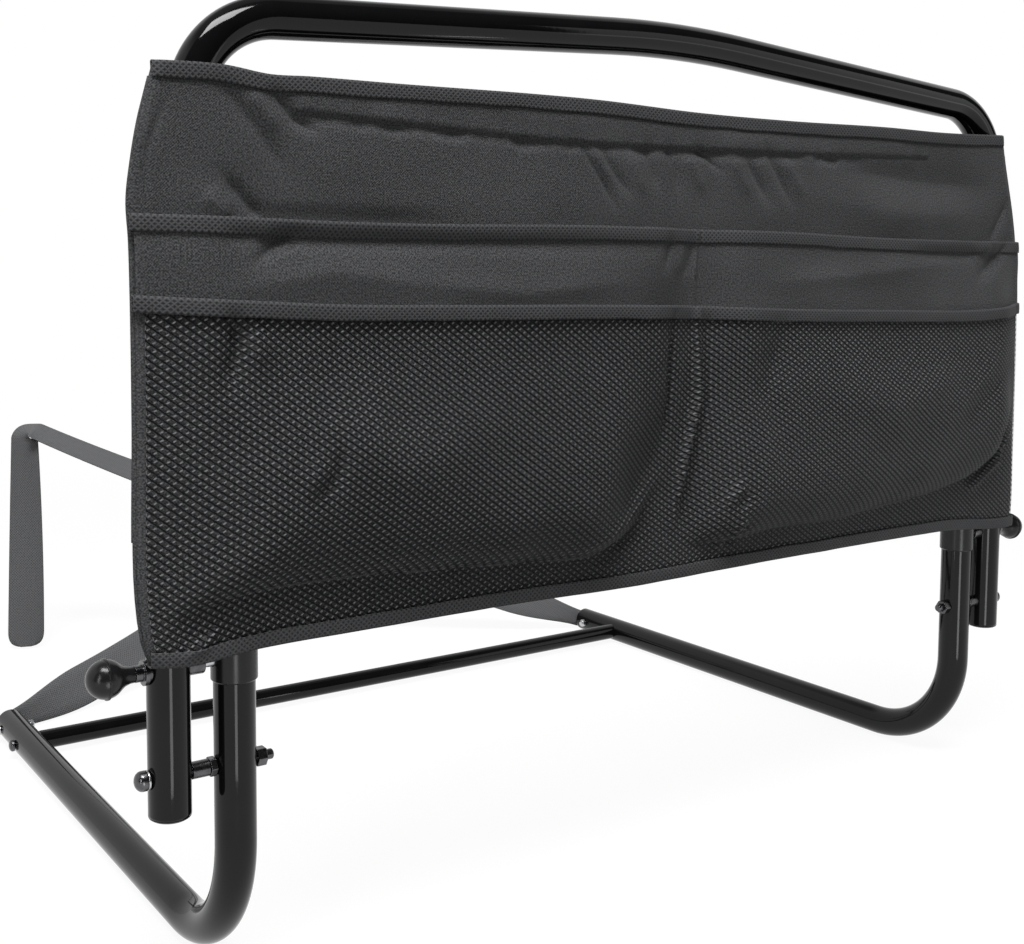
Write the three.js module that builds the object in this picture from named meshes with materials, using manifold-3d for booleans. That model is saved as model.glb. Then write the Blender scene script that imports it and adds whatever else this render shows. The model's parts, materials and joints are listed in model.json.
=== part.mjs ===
// Folding bed guard rail: a bent tube handle with an organiser pouch, hinged on two L-shaped base tubes.
// Millimetres, +Z up. X runs along the rail, -Y is the room side, +Y is the bed side.
// Everything is laid out with the pivot plane at Y = 0, then the whole part is moved to its origin.

import * as THREE from 'three';
import { mergeVertices } from 'three/addons/utils/BufferGeometryUtils.js';
import Module from 'manifold-3d';

const wasm = await Module();
wasm.setup();

// Clearances
const fitGap = 0.3; // between pieces that touch
const cutOverrun = 2; // how far a cutter runs past the wall that it cuts

// Handle tube
const tubeRadius = 12;
const tubeWall = 1.6;
const postEndHeight = 111.5; // lower end of the outer posts
const leanStartHeight = 330; // the posts lean inward above this height
const leanStartRadius = 300;
const shoulderInset = 19.6; // how far the shoulder corner lies inside the post line
const shoulderHeight = 547.6; // corner of the bent centreline
const shoulderRadius = 55;
const crownHeight = 570.3; // peak of the bent centreline before rounding
const crownRadius = 900;
const postCapDepth = 14;
const postCapDome = 2;

// Base tubes
const uprightSpacing = 660; // between the centrelines of the two uprights
const postGap = 15; // clear between an upright and the outer post beside it
const uprightTop = 245;
const legBendRadius = 76;
const legEndDepth = 490; // open rear end of the legs, from the pivot plane
const uprightCapDepth = 12;
const uprightCapFlange = 2.5;

// Sleeves on the uprights
const sleeveRadius = 14;
const sleeveBottom = 181;
const sleeveLength = 28;

// Crossbar between the legs
const crossbarRadius = 8;
const crossbarWall = 1.4;
const crossbarInset = 59; // from the legs' open ends
const crossbarPlugLength = 18; // thickened, threaded ends
const crossbarBoltRadius = 3;
const crossbarBoltHeadRadius = 5;
const crossbarBoltHeadLength = 4;
const crossbarBoltReach = 12; // thread inside the crossbar

// Pivots
const pivotHeight = 133;
const pivotBoltRadius = 3;
const pivotHeadRadius = 5.6;
const pivotHeadLength = 6.4;
const pivotWasherThickness = 1.2;
const pivotSpacerRadius = 4.8;
const pivotNutAcross = 10; // across the flats
const pivotNutLength = 6;
const jamNutLength = 4;
const pivotTailLength = 5; // bolt end beyond the inner nut

// Spring plunger locks
const lockHeight = 193;
const lockPinRadius = 2.8;
const lockPinBite = 5; // depth of the engaged pin behind the sleeve's surface
const plungerRadius = 5.6;
const plungerInnerReach = 8; // barrel on the inner side of the outer post
const plungerFlangeRadius = 7;
const plungerFlangeLength = 2.5;
const plungerNeckRadius = 4.6;
const plungerNeckLength = 4.5;
const knobRadius = 10.6;
const knobNeckRadius = 4.4;
const knobNeckLength = 8;
const knobRingWidth = 1.4;
const knobRingHeight = 0.7;
const knobSocketDepth = 12;

// Safety straps
const strapWidth = 38;
const strapThickness = 1.8;
const strapPinchWidth = 18.6; // width where it is folded into the tube
const strapTuck = 26; // how far it runs into the leg
const strapScrewInset = 14; // from the leg's open end
const strapScrewRadius = 2;
const strapScrewHeadRadius = 4.4;
const strapScrewHeadLength = 2.6;
const strapNutRadius = 4;
const strapNutLength = 3.2;
const strapCornerSpread = 224; // the far corner's distance from the middle
const strapFarReach = 278; // the far corner's depth beyond the legs' ends
const strapCornerHeight = 240;
const strapTurnRadius = 6; // turn towards the far corner at the tube's mouth
const strapLeadOut = 110; // run after the turn, before it starts to climb
const strapLeadRiseRight = 38;
const strapLeadRiseLeft = 6;
const strapArrival = 200; // run that aims at the far corner
const strapArrivalDropRight = 94;
const strapArrivalDropLeft = 170;
const strapFoldRadius = 9;
const strapTailEnd = 2.2; // height of the hanging end
const strapTailShift = 14; // how far the hanging end drifts
const strapFlareShare = 0.2; // share of the run over which it opens to its full width
const strapArrivalLean = Math.PI / 9; // tilt of its width at the far corner
const strapTailYaw = Math.PI / 5; // turn of its width in the fold
const strapTailTwist = Math.PI / 4; // further turn down the hanging end

// Pouch
const clothThickness = 1.5;
const panelStandOff = 15.8; // rear face of the front panel, ahead of the pivot plane
const pouchTop = 520;
const pouchHem = 202;
const wrapSlack = 1; // between the posts and the cloth round them
const seamAllowance = 7.8; // sewn edge outside the posts
const hemInset = 14; // the hem is narrower than the panel
const hemTaperHeight = 40;
const topInset = 8; // so is its top
const topTaperHeight = 50;
const pouchShift = 12; // how far the cloth has slid to the left on the leaning posts
const shiftHeight = 480; // where it has slid by all of that
const wrapBottom = 268; // lower edge of the rear panel
const clothPocketMouth = 440;
const meshPocketMouth = 391;
const pocketSag = 5; // the mesh mouth hangs lower at its middle
const pocketSeamOffset = 6; // middle seam, to the right of the centre
const pocketSideInset = 2;
const pocketThickness = 1.2;
const clothPocketGape = 9;
const meshPocketGape = 7;
const pocketRise = 46; // width over which a pocket swells from its seams
const bindingWidth = 10;
const bindingThickness = 0.8;
const bindingLap = 1.6; // how far a binding runs past the side edge

// Facets
const tubeSides = 16;
const roundSides = 16;
const cutterSides = 24;
const bendSteps = 8;
const gentleSteps = 3;
const strapSteps = 30;
const strapTurnSteps = 4;
const foldSteps = 6;
const tailSteps = 8;
const pocketRows = 8;
const swellSteps = 4;

// Derived places
const uprightX = uprightSpacing / 2;
const postX = uprightX + 2 * tubeRadius + postGap;
const tubeBore = tubeRadius - tubeWall;
const flatShare = Math.cos(Math.PI / tubeSides);
const legHeight = tubeRadius * flatShare;
const outerFace = postX + tubeRadius;
const panelFront = panelStandOff + clothThickness;
const crossbarDepth = legEndDepth - crossbarInset;
const strapStartDepth = legEndDepth - strapTuck;
const strapScrewDepth = legEndDepth - strapScrewInset;
const strapCornerDepth = legEndDepth + strapFarReach;

// Finishes
const finishes = {
  paint: { color: 0x0b0b0c, roughness: 0.22, metalness: 0.4 },
  plastic: { color: 0x0a0a0a, roughness: 0.35, metalness: 0 },
  steel: { color: 0xb4b6b8, roughness: 0.25, metalness: 1 },
  blackSteel: { color: 0x141415, roughness: 0.3, metalness: 0.8 },
  cloth: { color: 0x1b1c1f, roughness: 0.85, metalness: 0 },
  netting: { color: 0x141416, roughness: 0.9, metalness: 0 },
  tape: { color: 0x17181a, roughness: 0.95, metalness: 0 },
  webbing: { color: 0x2a2a2d, roughness: 0.7, metalness: 0 },
};

const rail = new THREE.Group();
rail.name = 'folding_bed_guard_rail';

/** Adds one named mesh with its own material. */
function addPiece(name, geometry, finish) {
  const mesh = new THREE.Mesh(geometry, new THREE.MeshStandardMaterial(finishes[finish]));
  mesh.name = name;
  rail.add(mesh);
  return mesh;
}

/** Turns a closed geometry into a solid for cutting. */
function toSolid(geometry) {
  const bare = geometry.clone();
  bare.deleteAttribute('normal');
  bare.deleteAttribute('uv');
  const merged = mergeVertices(bare);
  return new wasm.Manifold(new wasm.Mesh({
    numProp: 3,
    vertProperties: new Float32Array(merged.attributes.position.array),
    triVerts: new Uint32Array(merged.index.array),
  }));
}

/** Turns a solid back into a geometry. */
function toGeometry(solid) {
  const mesh = solid.getMesh();
  const geometry = new THREE.BufferGeometry();
  geometry.setAttribute('position', new THREE.BufferAttribute(new Float32Array(mesh.vertProperties), 3));
  geometry.setIndex(new THREE.BufferAttribute(new Uint32Array(mesh.triVerts), 1));
  geometry.computeVertexNormals();
  return geometry;
}

/** Cuts a list of cutters out of a geometry. */
function cut(geometry, cutters) {
  let solid = toSolid(geometry);
  for (const cutter of cutters) {
    solid = solid.subtract(toSolid(cutter));
  }
  return toGeometry(solid);
}

/** A solid round bar along X, from one X to another, through the point (y, z). */
function barAlongX(radius, fromX, toX, y, z, sides = cutterSides) {
  const bar = new THREE.CylinderGeometry(radius, radius, Math.abs(toX - fromX), sides);
  bar.rotateZ(Math.PI / 2);
  bar.translate((fromX + toX) / 2, y, z);
  return bar;
}

/** A closed turned solid, its axis on X; the profile lists [distance along, radius]. */
function turnedAlongX(profile, sides = roundSides) {
  const points = profile.map(([along, radius]) => new THREE.Vector2(radius, along));
  const turned = new THREE.LatheGeometry(points, sides);
  turned.rotateZ(-Math.PI / 2);
  return faceOutward(turned);
}

/** A ring of points on a circle, with flats facing the axes of the section. */
function ringPoints(radius, sides) {
  return Array.from({ length: sides }, (_, i) => {
    const angle = ((i + 1 / 2) * 2 * Math.PI) / sides;
    return new THREE.Vector2(radius * Math.cos(angle), radius * Math.sin(angle));
  });
}

/** The section of a round tube. */
function tubeSection(outer, inner, sides) {
  const section = new THREE.Shape(ringPoints(outer, sides));
  section.holes.push(new THREE.Path(ringPoints(inner, sides).reverse()));
  return section;
}

/** A path of straight runs joined by round bends, with stations only where it turns. */
class BentPath extends THREE.Curve {
  constructor(corners, radii, steps) {
    super();
    this.stations = [];
    this.headings = [];
    const last = corners.length - 1;
    const heading = (i) => corners[i + 1].clone().sub(corners[i]).normalize();
    this.addStation(corners[0], heading(0));
    for (let i = 1; i < last; i += 1) {
      this.addBend(corners[i], heading(i - 1), heading(i), radii[i - 1], steps[i - 1]);
    }
    this.addStation(corners[last], heading(last - 1));
  }

  addStation(point, heading) {
    this.stations.push(point.clone());
    this.headings.push(heading.clone());
  }

  addBend(corner, before, after, radius, count) {
    const angle = before.angleTo(after);
    const reach = radius * Math.tan(angle / 2);
    const start = corner.clone().addScaledVector(before, -reach);
    const inward = after.clone().addScaledVector(before, -after.dot(before)).normalize();
    for (let i = 0; i <= count; i += 1) {
      const turn = (angle * i) / count;
      const point = start.clone()
        .addScaledVector(before, radius * Math.sin(turn))
        .addScaledVector(inward, radius * (1 - Math.cos(turn)));
      const heading = before.clone().multiplyScalar(Math.cos(turn)).addScaledVector(inward, Math.sin(turn));
      this.addStation(point, heading);
    }
  }

  between(list, u) {
    const place = u * (list.length - 1);
    const low = Math.min(Math.floor(place), list.length - 2);
    return list[low].clone().lerp(list[low + 1], place - low);
  }

  getPoint(t) {
    return this.between(this.stations, t);
  }

  getPointAt(u) {
    return this.between(this.stations, u);
  }

  getTangentAt(u) {
    return this.between(this.headings, u).normalize();
  }
}

/** A section swept along a bent path. */
function sweep(section, path) {
  return new THREE.ExtrudeGeometry(section, {
    steps: path.stations.length - 1,
    bevelEnabled: false,
    extrudePath: path,
  });
}

/**
 * A closed solid through rings of points, all with the same even count. The first half of a ring is
 * one side of the sheet and the second half the other side, going back, so flat ends close in pairs.
 */
function loft(rings) {
  const count = rings[0].length;
  const positions = rings.flat().flatMap((point) => [point.x, point.y, point.z]);
  const faces = [];
  for (let r = 0; r < rings.length - 1; r += 1) {
    for (let i = 0; i < count; i += 1) {
      const a = r * count + i;
      const b = r * count + ((i + 1) % count);
      faces.push(a, b, b + count, a, b + count, a + count);
    }
  }
  const last = (rings.length - 1) * count;
  for (let i = 0; i < count / 2 - 1; i += 1) {
    const quad = [i, i + 1, count - 2 - i, count - 1 - i];
    const [a, b, c, d] = quad;
    faces.push(a, c, b, a, d, c);
    faces.push(last + a, last + b, last + c, last + a, last + c, last + d);
  }
  const geometry = new THREE.BufferGeometry();
  geometry.setAttribute('position', new THREE.BufferAttribute(new Float32Array(positions), 3));
  geometry.setIndex(faces);
  geometry.computeVertexNormals();
  return faceOutward(geometry);
}

/** Turns the faces of an indexed geometry over if it is inside out. */
function faceOutward(geometry) {
  if (signedVolume(geometry) < 0) {
    const faces = Array.from(geometry.index.array);
    geometry.setIndex(faces.map((_, i) => faces[i - (i % 3) + 2 - (i % 3)]));
    geometry.computeVertexNormals();
  }
  return geometry;
}

/** The volume enclosed by an indexed geometry, negative if it is inside out. */
function signedVolume(geometry) {
  const place = geometry.attributes.position;
  const index = geometry.index.array;
  const corner = (i) => new THREE.Vector3().fromBufferAttribute(place, index[i]);
  let volume = 0;
  for (let i = 0; i < index.length; i += 3) {
    volume += corner(i).dot(corner(i + 1).cross(corner(i + 2))) / 6;
  }
  return volume;
}

// Handle

const shoulderX = postX - shoulderInset;
const handleCorners = [
  new THREE.Vector3(-postX, 0, postEndHeight),
  new THREE.Vector3(-postX, 0, leanStartHeight),
  new THREE.Vector3(-shoulderX, 0, shoulderHeight),
  new THREE.Vector3(0, 0, crownHeight),
  new THREE.Vector3(shoulderX, 0, shoulderHeight),
  new THREE.Vector3(postX, 0, leanStartHeight),
  new THREE.Vector3(postX, 0, postEndHeight),
];
const handlePath = new BentPath(
  handleCorners,
  [leanStartRadius, shoulderRadius, crownRadius, shoulderRadius, leanStartRadius],
  [gentleSteps, bendSteps, gentleSteps, bendSteps, gentleSteps],
);

/** Half the distance between the posts' centrelines at a height. */
function postCentreAt(height) {
  const stations = handlePath.stations.slice(0, handlePath.stations.length / 2);
  for (let i = 0; i < stations.length - 1; i += 1) {
    const low = stations[i];
    const high = stations[i + 1];
    if (height <= high.z) {
      return -THREE.MathUtils.lerp(low.x, high.x, (height - low.z) / (high.z - low.z));
    }
  }
  return -stations[stations.length - 1].x;
}

const handleCuts = [];
for (const side of [-1, 1]) {
  const inner = side * (postX - tubeRadius - cutOverrun);
  const outer = side * (outerFace + cutOverrun);
  handleCuts.push(barAlongX(pivotBoltRadius + fitGap, inner, outer, 0, pivotHeight));
  handleCuts.push(barAlongX(plungerRadius + fitGap, inner, outer, 0, lockHeight));
}
addPiece(
  'handle_tube',
  cut(sweep(tubeSection(tubeRadius, tubeBore, tubeSides), handlePath), handleCuts),
  'paint',
);

for (const [label, side] of [['left', -1], ['right', 1]]) {
  // Rounded plug that closes the post's lower end
  const plugRadius = tubeBore * flatShare - fitGap;
  const cap = addPiece(`post_cap_${label}`, turnedAlongX([
    [-postCapDome, 0],
    [-postCapDome, tubeRadius - 2 * postCapDome],
    [-postCapDome / 2, tubeRadius - postCapDome / 2],
    [0, tubeRadius],
    [0, plugRadius],
    [postCapDepth, plugRadius - fitGap],
    [postCapDepth, 0],
  ]), 'plastic');
  cap.rotation.y = -Math.PI / 2;
  cap.position.set(side * postX, 0, postEndHeight - fitGap);

  // Threaded plunger housing through the outer post, bored for the pin
  const bore = lockPinRadius + fitGap;
  const barrelEnd = postX - tubeRadius - plungerInnerReach;
  const flangeStart = outerFace + fitGap;
  const flangeEnd = flangeStart + plungerFlangeLength;
  const neckEnd = flangeEnd + plungerNeckLength;
  const housing = turnedAlongX([
    [barrelEnd, bore],
    [barrelEnd, plungerRadius - fitGap],
    [barrelEnd + fitGap, plungerRadius],
    [flangeStart, plungerRadius],
    [flangeStart, plungerFlangeRadius],
    [flangeEnd, plungerFlangeRadius],
    [flangeEnd, plungerNeckRadius],
    [neckEnd, plungerNeckRadius],
    [neckEnd, bore],
    [barrelEnd, bore],
  ]);
  const plunger = addPiece(`plunger_${label}`, housing, 'blackSteel');
  plunger.rotation.z = side < 0 ? Math.PI : 0;
  plunger.position.set(0, 0, lockHeight);

  // Ball knob with a tapered neck and a raised ring, socketed on the pin
  const neckStart = neckEnd + fitGap;
  const ballStart = neckStart + knobNeckLength;
  const ballCentre = ballStart + knobRadius * Math.cos(Math.PI / 4);
  const arc = (angle, radius = knobRadius) => [
    ballCentre - radius * Math.cos(angle),
    radius * Math.sin(angle),
  ];
  const ringHalf = knobRingWidth / 2;
  const socketEnd = neckStart + knobSocketDepth;
  const knob = addPiece(`knob_${label}`, turnedAlongX([
    [socketEnd, 0],
    [socketEnd, bore],
    [neckStart, bore],
    [neckStart, knobNeckRadius],
    [ballStart, knobRadius * Math.sin(Math.PI / 4)],
    arc(Math.PI / 3),
    [ballCentre - ringHalf, knobRadius],
    [ballCentre - ringHalf, knobRadius + knobRingHeight],
    [ballCentre + ringHalf, knobRadius + knobRingHeight],
    [ballCentre + ringHalf, knobRadius],
    arc((2 * Math.PI) / 3),
    arc((5 * Math.PI) / 6),
    [ballCentre + knobRadius, 0],
  ]), 'plastic');
  knob.rotation.z = side < 0 ? Math.PI : 0;
  knob.position.set(0, 0, lockHeight);

  // Round-nosed lock pin
  const pinTip = uprightX + sleeveRadius - lockPinBite;
  const pinEnd = socketEnd - fitGap;
  const pin = addPiece(`lock_pin_${label}`, turnedAlongX([
    [pinTip, 0],
    [pinTip, lockPinRadius / 2],
    [pinTip + lockPinRadius / 2, lockPinRadius],
    [pinEnd, lockPinRadius],
    [pinEnd, 0],
  ]), 'steel');
  pin.rotation.z = side < 0 ? Math.PI : 0;
  pin.position.set(0, 0, lockHeight);
}

// Base

for (const [label, side] of [['left', -1], ['right', 1]]) {
  const legPath = new BentPath(
    [
      new THREE.Vector3(side * uprightX, 0, uprightTop),
      new THREE.Vector3(side * uprightX, 0, legHeight),
      new THREE.Vector3(side * uprightX, legEndDepth, legHeight),
    ],
    [legBendRadius],
    [bendSteps],
  );
  const innerSide = side * (uprightX - tubeRadius - cutOverrun);
  const middle = side * uprightX;
  const outerSide = side * (uprightX + tubeRadius + cutOverrun);
  addPiece(`base_tube_${label}`, cut(sweep(tubeSection(tubeRadius, tubeBore, tubeSides), legPath), [
    barAlongX(pivotBoltRadius + fitGap, innerSide, outerSide, 0, pivotHeight),
    barAlongX(lockPinRadius + fitGap, middle, outerSide, 0, lockHeight),
    barAlongX(crossbarBoltRadius + fitGap, innerSide, outerSide, crossbarDepth, legHeight),
    barAlongX(strapScrewRadius + fitGap, innerSide, outerSide, strapScrewDepth, legHeight),
  ]), 'paint');

  // Flanged cap on the upright's top end
  const capRadius = tubeBore * flatShare - fitGap;
  const cap = addPiece(`upright_cap_${label}`, turnedAlongX([
    [-uprightCapDepth, 0],
    [-uprightCapDepth, capRadius - fitGap],
    [0, capRadius],
    [0, tubeRadius],
    [uprightCapFlange, tubeRadius - uprightCapFlange / 2],
    [uprightCapFlange, 0],
  ]), 'plastic');
  cap.rotation.y = -Math.PI / 2;
  cap.position.set(side * uprightX, 0, uprightTop + fitGap);

  // Sleeve round the upright, with the hole that takes the lock pin
  const sleeveBore = tubeRadius + fitGap;
  const ring = new THREE.ExtrudeGeometry(
    tubeSection(sleeveRadius / flatShare, sleeveBore / flatShare, tubeSides),
    { depth: sleeveLength, bevelEnabled: false, steps: 1 },
  );
  const sleeveHole = barAlongX(
    lockPinRadius + fitGap, 0, side * (sleeveRadius + cutOverrun), 0, lockHeight - sleeveBottom,
  );
  const sleeve = addPiece(`sleeve_${label}`, cut(ring, [sleeveHole]), 'plastic');
  sleeve.position.set(side * uprightX, 0, sleeveBottom);

  // Pivot bolt from the outer side: domed head, shank through both tubes
  const headStart = outerFace + fitGap + pivotWasherThickness + fitGap;
  const nutStart = uprightX - tubeRadius - fitGap;
  const boltTip = nutStart - pivotNutLength - pivotTailLength;
  const bolt = addPiece(`pivot_bolt_${label}`, turnedAlongX([
    [boltTip, 0],
    [boltTip, pivotBoltRadius / 2],
    [boltTip + pivotBoltRadius / 2, pivotBoltRadius],
    [headStart, pivotBoltRadius],
    [headStart, pivotHeadRadius],
    [headStart + pivotHeadLength / 3, pivotHeadRadius],
    [headStart + (2 * pivotHeadLength) / 3, pivotHeadRadius * Math.sin(Math.PI / 3)],
    [headStart + pivotHeadLength, pivotHeadRadius * Math.sin(Math.PI / 9)],
    [headStart + pivotHeadLength, 0],
  ]), 'blackSteel');
  bolt.rotation.z = side < 0 ? Math.PI : 0;
  bolt.position.set(0, 0, pivotHeight);

  // Washer, spacer, jam nut and inner nut on the shank, each from one X to another
  const onShank = [
    ['pivot_washer', outerFace + fitGap, outerFace + fitGap + pivotWasherThickness, pivotHeadRadius, roundSides, 'steel'],
    [
      'pivot_spacer', uprightX + tubeRadius + fitGap + jamNutLength + fitGap,
      postX - tubeRadius - fitGap, pivotSpacerRadius, roundSides, 'blackSteel',
    ],
    [
      'pivot_jam_nut', uprightX + tubeRadius + fitGap, uprightX + tubeRadius + fitGap + jamNutLength,
      pivotNutAcross / 2 / Math.cos(Math.PI / 6), 6, 'blackSteel',
    ],
    [
      'pivot_nut', nutStart - pivotNutLength, nutStart,
      pivotNutAcross / 2 / Math.cos(Math.PI / 6), 6, 'blackSteel',
    ],
  ];
  for (const [name, from, to, radius, sides, finish] of onShank) {
    const outline = new THREE.Shape(ringPoints(radius, sides));
    outline.holes.push(new THREE.Path(ringPoints(pivotBoltRadius + fitGap, roundSides).reverse()));
    const piece = new THREE.ExtrudeGeometry(outline, { depth: to - from, bevelEnabled: false, steps: 1 });
    const mesh = addPiece(`${name}_${label}`, piece, finish);
    mesh.rotation.y = Math.PI / 2;
    mesh.position.set(side > 0 ? from : -to, 0, pivotHeight);
  }

  // Bolt through the leg into the crossbar's threaded end
  const crossHead = uprightX + tubeRadius + fitGap;
  const crossTip = uprightX - tubeRadius - crossbarBoltReach;
  const crossBolt = addPiece(`crossbar_bolt_${label}`, turnedAlongX([
    [crossTip, 0],
    [crossTip, crossbarBoltRadius],
    [crossHead, crossbarBoltRadius],
    [crossHead, crossbarBoltHeadRadius],
    [crossHead + crossbarBoltHeadLength / 2, crossbarBoltHeadRadius],
    [crossHead + crossbarBoltHeadLength, crossbarBoltHeadRadius / 2],
    [crossHead + crossbarBoltHeadLength, 0],
  ]), 'blackSteel');
  crossBolt.rotation.z = side < 0 ? Math.PI : 0;
  crossBolt.position.set(0, crossbarDepth, legHeight);

  // Screw across the leg's open end, through the strap, with its nut on the inner side
  const screwTip = uprightX - tubeRadius - fitGap - strapNutLength;
  const screw = addPiece(`strap_screw_${label}`, turnedAlongX([
    [screwTip, 0],
    [screwTip, strapScrewRadius],
    [crossHead, strapScrewRadius],
    [crossHead, strapScrewHeadRadius],
    [crossHead + strapScrewHeadLength / 2, strapScrewHeadRadius],
    [crossHead + strapScrewHeadLength, strapScrewHeadRadius / 2],
    [crossHead + strapScrewHeadLength, 0],
  ]), 'steel');
  screw.rotation.z = side < 0 ? Math.PI : 0;
  screw.position.set(0, strapScrewDepth, legHeight);

  const capNutEnd = screwTip - fitGap - strapNutLength / 2;
  const nutBore = strapScrewRadius + fitGap;
  const capNut = addPiece(`strap_nut_${label}`, turnedAlongX([
    [capNutEnd, 0],
    [capNutEnd, strapNutRadius / 2],
    [capNutEnd + strapNutLength / 2, strapNutRadius],
    [uprightX - tubeRadius - fitGap, strapNutRadius],
    [uprightX - tubeRadius - fitGap, nutBore],
    [screwTip - fitGap, nutBore],
    [screwTip - fitGap, 0],
  ]), 'steel');
  capNut.rotation.z = side < 0 ? Math.PI : 0;
  capNut.position.set(0, strapScrewDepth, legHeight);
}

// Crossbar: a tube with thickened ends, coped to the legs
const crossbarHalf = uprightX - tubeRadius / 2;
const coped = [-1, 1].map((side) => {
  const cope = new THREE.CylinderGeometry(
    tubeRadius + fitGap, tubeRadius + fitGap, 4 * tubeRadius, cutterSides,
  );
  return cope.translate(side * uprightX, crossbarDepth, legHeight);
});
const crossbarInside = crossbarHalf - tubeWall - crossbarPlugLength;
const crossbarCuts = [
  barAlongX(crossbarRadius - crossbarWall, -crossbarInside, crossbarInside, crossbarDepth, legHeight),
  barAlongX(crossbarBoltRadius + fitGap, -crossbarHalf - cutOverrun, crossbarHalf + cutOverrun, crossbarDepth, legHeight),
  ...coped,
];
addPiece('crossbar', cut(
  barAlongX(crossbarRadius, -crossbarHalf, crossbarHalf, crossbarDepth, legHeight, tubeSides),
  crossbarCuts,
), 'paint');

// Straps

/** One webbing strap: pinched in the leg's end, twisting as it rises to the far corner, then hanging. */
function strapGeometry(side, leadRise, arrivalDrop) {
  const exit = new THREE.Vector3(uprightX, legEndDepth, legHeight);
  const corner = new THREE.Vector3(-strapCornerSpread, strapCornerDepth, strapCornerHeight);
  const flatRun = corner.clone().sub(exit).setZ(0).normalize();
  const upright = new THREE.Vector3(0, 0, 1);
  const outward = new THREE.Vector3(0, 1, 0);
  const mouthTurn = outward.angleTo(flatRun);
  const turned = (turn) => exit.clone().add(new THREE.Vector3(
    -strapTurnRadius * (1 - Math.cos(turn)), strapTurnRadius * Math.sin(turn), 0,
  ));
  const leave = turned(mouthTurn);
  const run = new THREE.CubicBezierCurve3(
    leave,
    leave.clone().addScaledVector(flatRun, strapLeadOut).addScaledVector(upright, leadRise),
    corner.clone().addScaledVector(flatRun, -strapArrival).addScaledVector(upright, -arrivalDrop),
    corner,
  );
  const across = upright.clone().cross(flatRun).negate();
  const stations = [];
  const addStation = (point, heading, lean, width) => {
    const breadth = lean.clone().addScaledVector(heading, -lean.dot(heading)).normalize();
    stations.push({ point, breadth, face: heading.clone().cross(breadth), width });
  };
  addStation(exit.clone().setY(strapStartDepth), outward, upright, strapPinchWidth);
  for (let i = 0; i < strapTurnSteps; i += 1) {
    const turn = (mouthTurn * i) / strapTurnSteps;
    addStation(turned(turn), outward.clone().applyAxisAngle(upright, turn), upright, strapPinchWidth);
  }
  for (let i = 0; i <= strapSteps; i += 1) {
    const t = i / strapSteps;
    const flare = THREE.MathUtils.smoothstep(t, 0, strapFlareShare);
    const lean = THREE.MathUtils.lerp(Math.PI / 2, strapArrivalLean, Math.sqrt(t));
    const breadth = across.clone().multiplyScalar(Math.cos(lean)).addScaledVector(upright, Math.sin(lean));
    addStation(run.getPoint(t), run.getTangent(t), breadth, THREE.MathUtils.lerp(strapPinchWidth, strapWidth, flare));
  }
  const before = run.getTangent(1);
  const down = upright.clone().negate();
  const foldCentreDrop = down.clone().addScaledVector(before, -down.dot(before)).normalize();
  const foldTurn = before.angleTo(down);
  const arrivalBreadth = stations[stations.length - 1].breadth.clone();
  const tailBreadth = across.clone().applyAxisAngle(upright, strapTailYaw);
  let edge = corner;
  for (let i = 1; i <= foldSteps; i += 1) {
    const turn = (foldTurn * i) / foldSteps;
    edge = corner.clone()
      .addScaledVector(before, strapFoldRadius * Math.sin(turn))
      .addScaledVector(foldCentreDrop, strapFoldRadius * (1 - Math.cos(turn)));
    const heading = before.clone().multiplyScalar(Math.cos(turn)).addScaledVector(foldCentreDrop, Math.sin(turn));
    addStation(edge, heading, arrivalBreadth.clone().lerp(tailBreadth, i / foldSteps), strapWidth);
  }
  const tailLength = edge.z - strapTailEnd;
  for (let i = 1; i <= tailSteps; i += 1) {
    const t = i / tailSteps;
    const point = edge.clone().add(new THREE.Vector3(
      -strapTailShift * t * t / 2, -strapTailShift * t * t, -tailLength * t,
    ));
    const breadth = tailBreadth.clone().applyAxisAngle(upright, strapTailTwist * t);
    const taper = t < 1 ? strapWidth : strapWidth - 2 * strapFoldRadius;
    addStation(point, down, breadth, taper);
  }
  const rings = stations.map(({ point, breadth, face, width }) => {
    const corners = [[-1, -1], [1, -1], [1, 1], [-1, 1]];
    return corners.map(([wide, thick]) => {
      const place = point.clone()
        .addScaledVector(breadth, (wide * width) / 2)
        .addScaledVector(face, (thick * strapThickness) / 2);
      place.x *= side;
      return place;
    });
  });
  return loft(rings);
}
for (const [label, side, rise, drop] of [
  ['left', -1, strapLeadRiseLeft, strapArrivalDropLeft],
  ['right', 1, strapLeadRiseRight, strapArrivalDropRight],
]) {
  const hole = barAlongX(
    strapScrewRadius + fitGap, side * (uprightX - tubeRadius), side * (uprightX + tubeRadius),
    strapScrewDepth, legHeight,
  );
  addPiece(`strap_${label}`, cut(strapGeometry(side, rise, drop), [hole]), 'webbing');
}

// Pouch

/** X of the pouch's sewn edge on one side, at a height. */
function pouchEdgeAt(side, height) {
  const held = postCentreAt(height) + tubeRadius + wrapSlack + clothThickness + seamAllowance;
  const hemPull = Math.max(0, (pouchHem + hemTaperHeight - height) / hemTaperHeight);
  const topPull = Math.max(0, (height - pouchTop + topTaperHeight) / topTaperHeight);
  const half = held - hemInset * hemPull * hemPull - topInset * topPull * topPull;
  return side * half - pouchShift * THREE.MathUtils.smoothstep(height, leanStartHeight, shiftHeight);
}

/** A flat cross-section at one height: X and Y pairs become a ring. */
function levelRing(height, outline) {
  return outline.map(([x, y]) => new THREE.Vector3(x, y, height));
}

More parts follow.
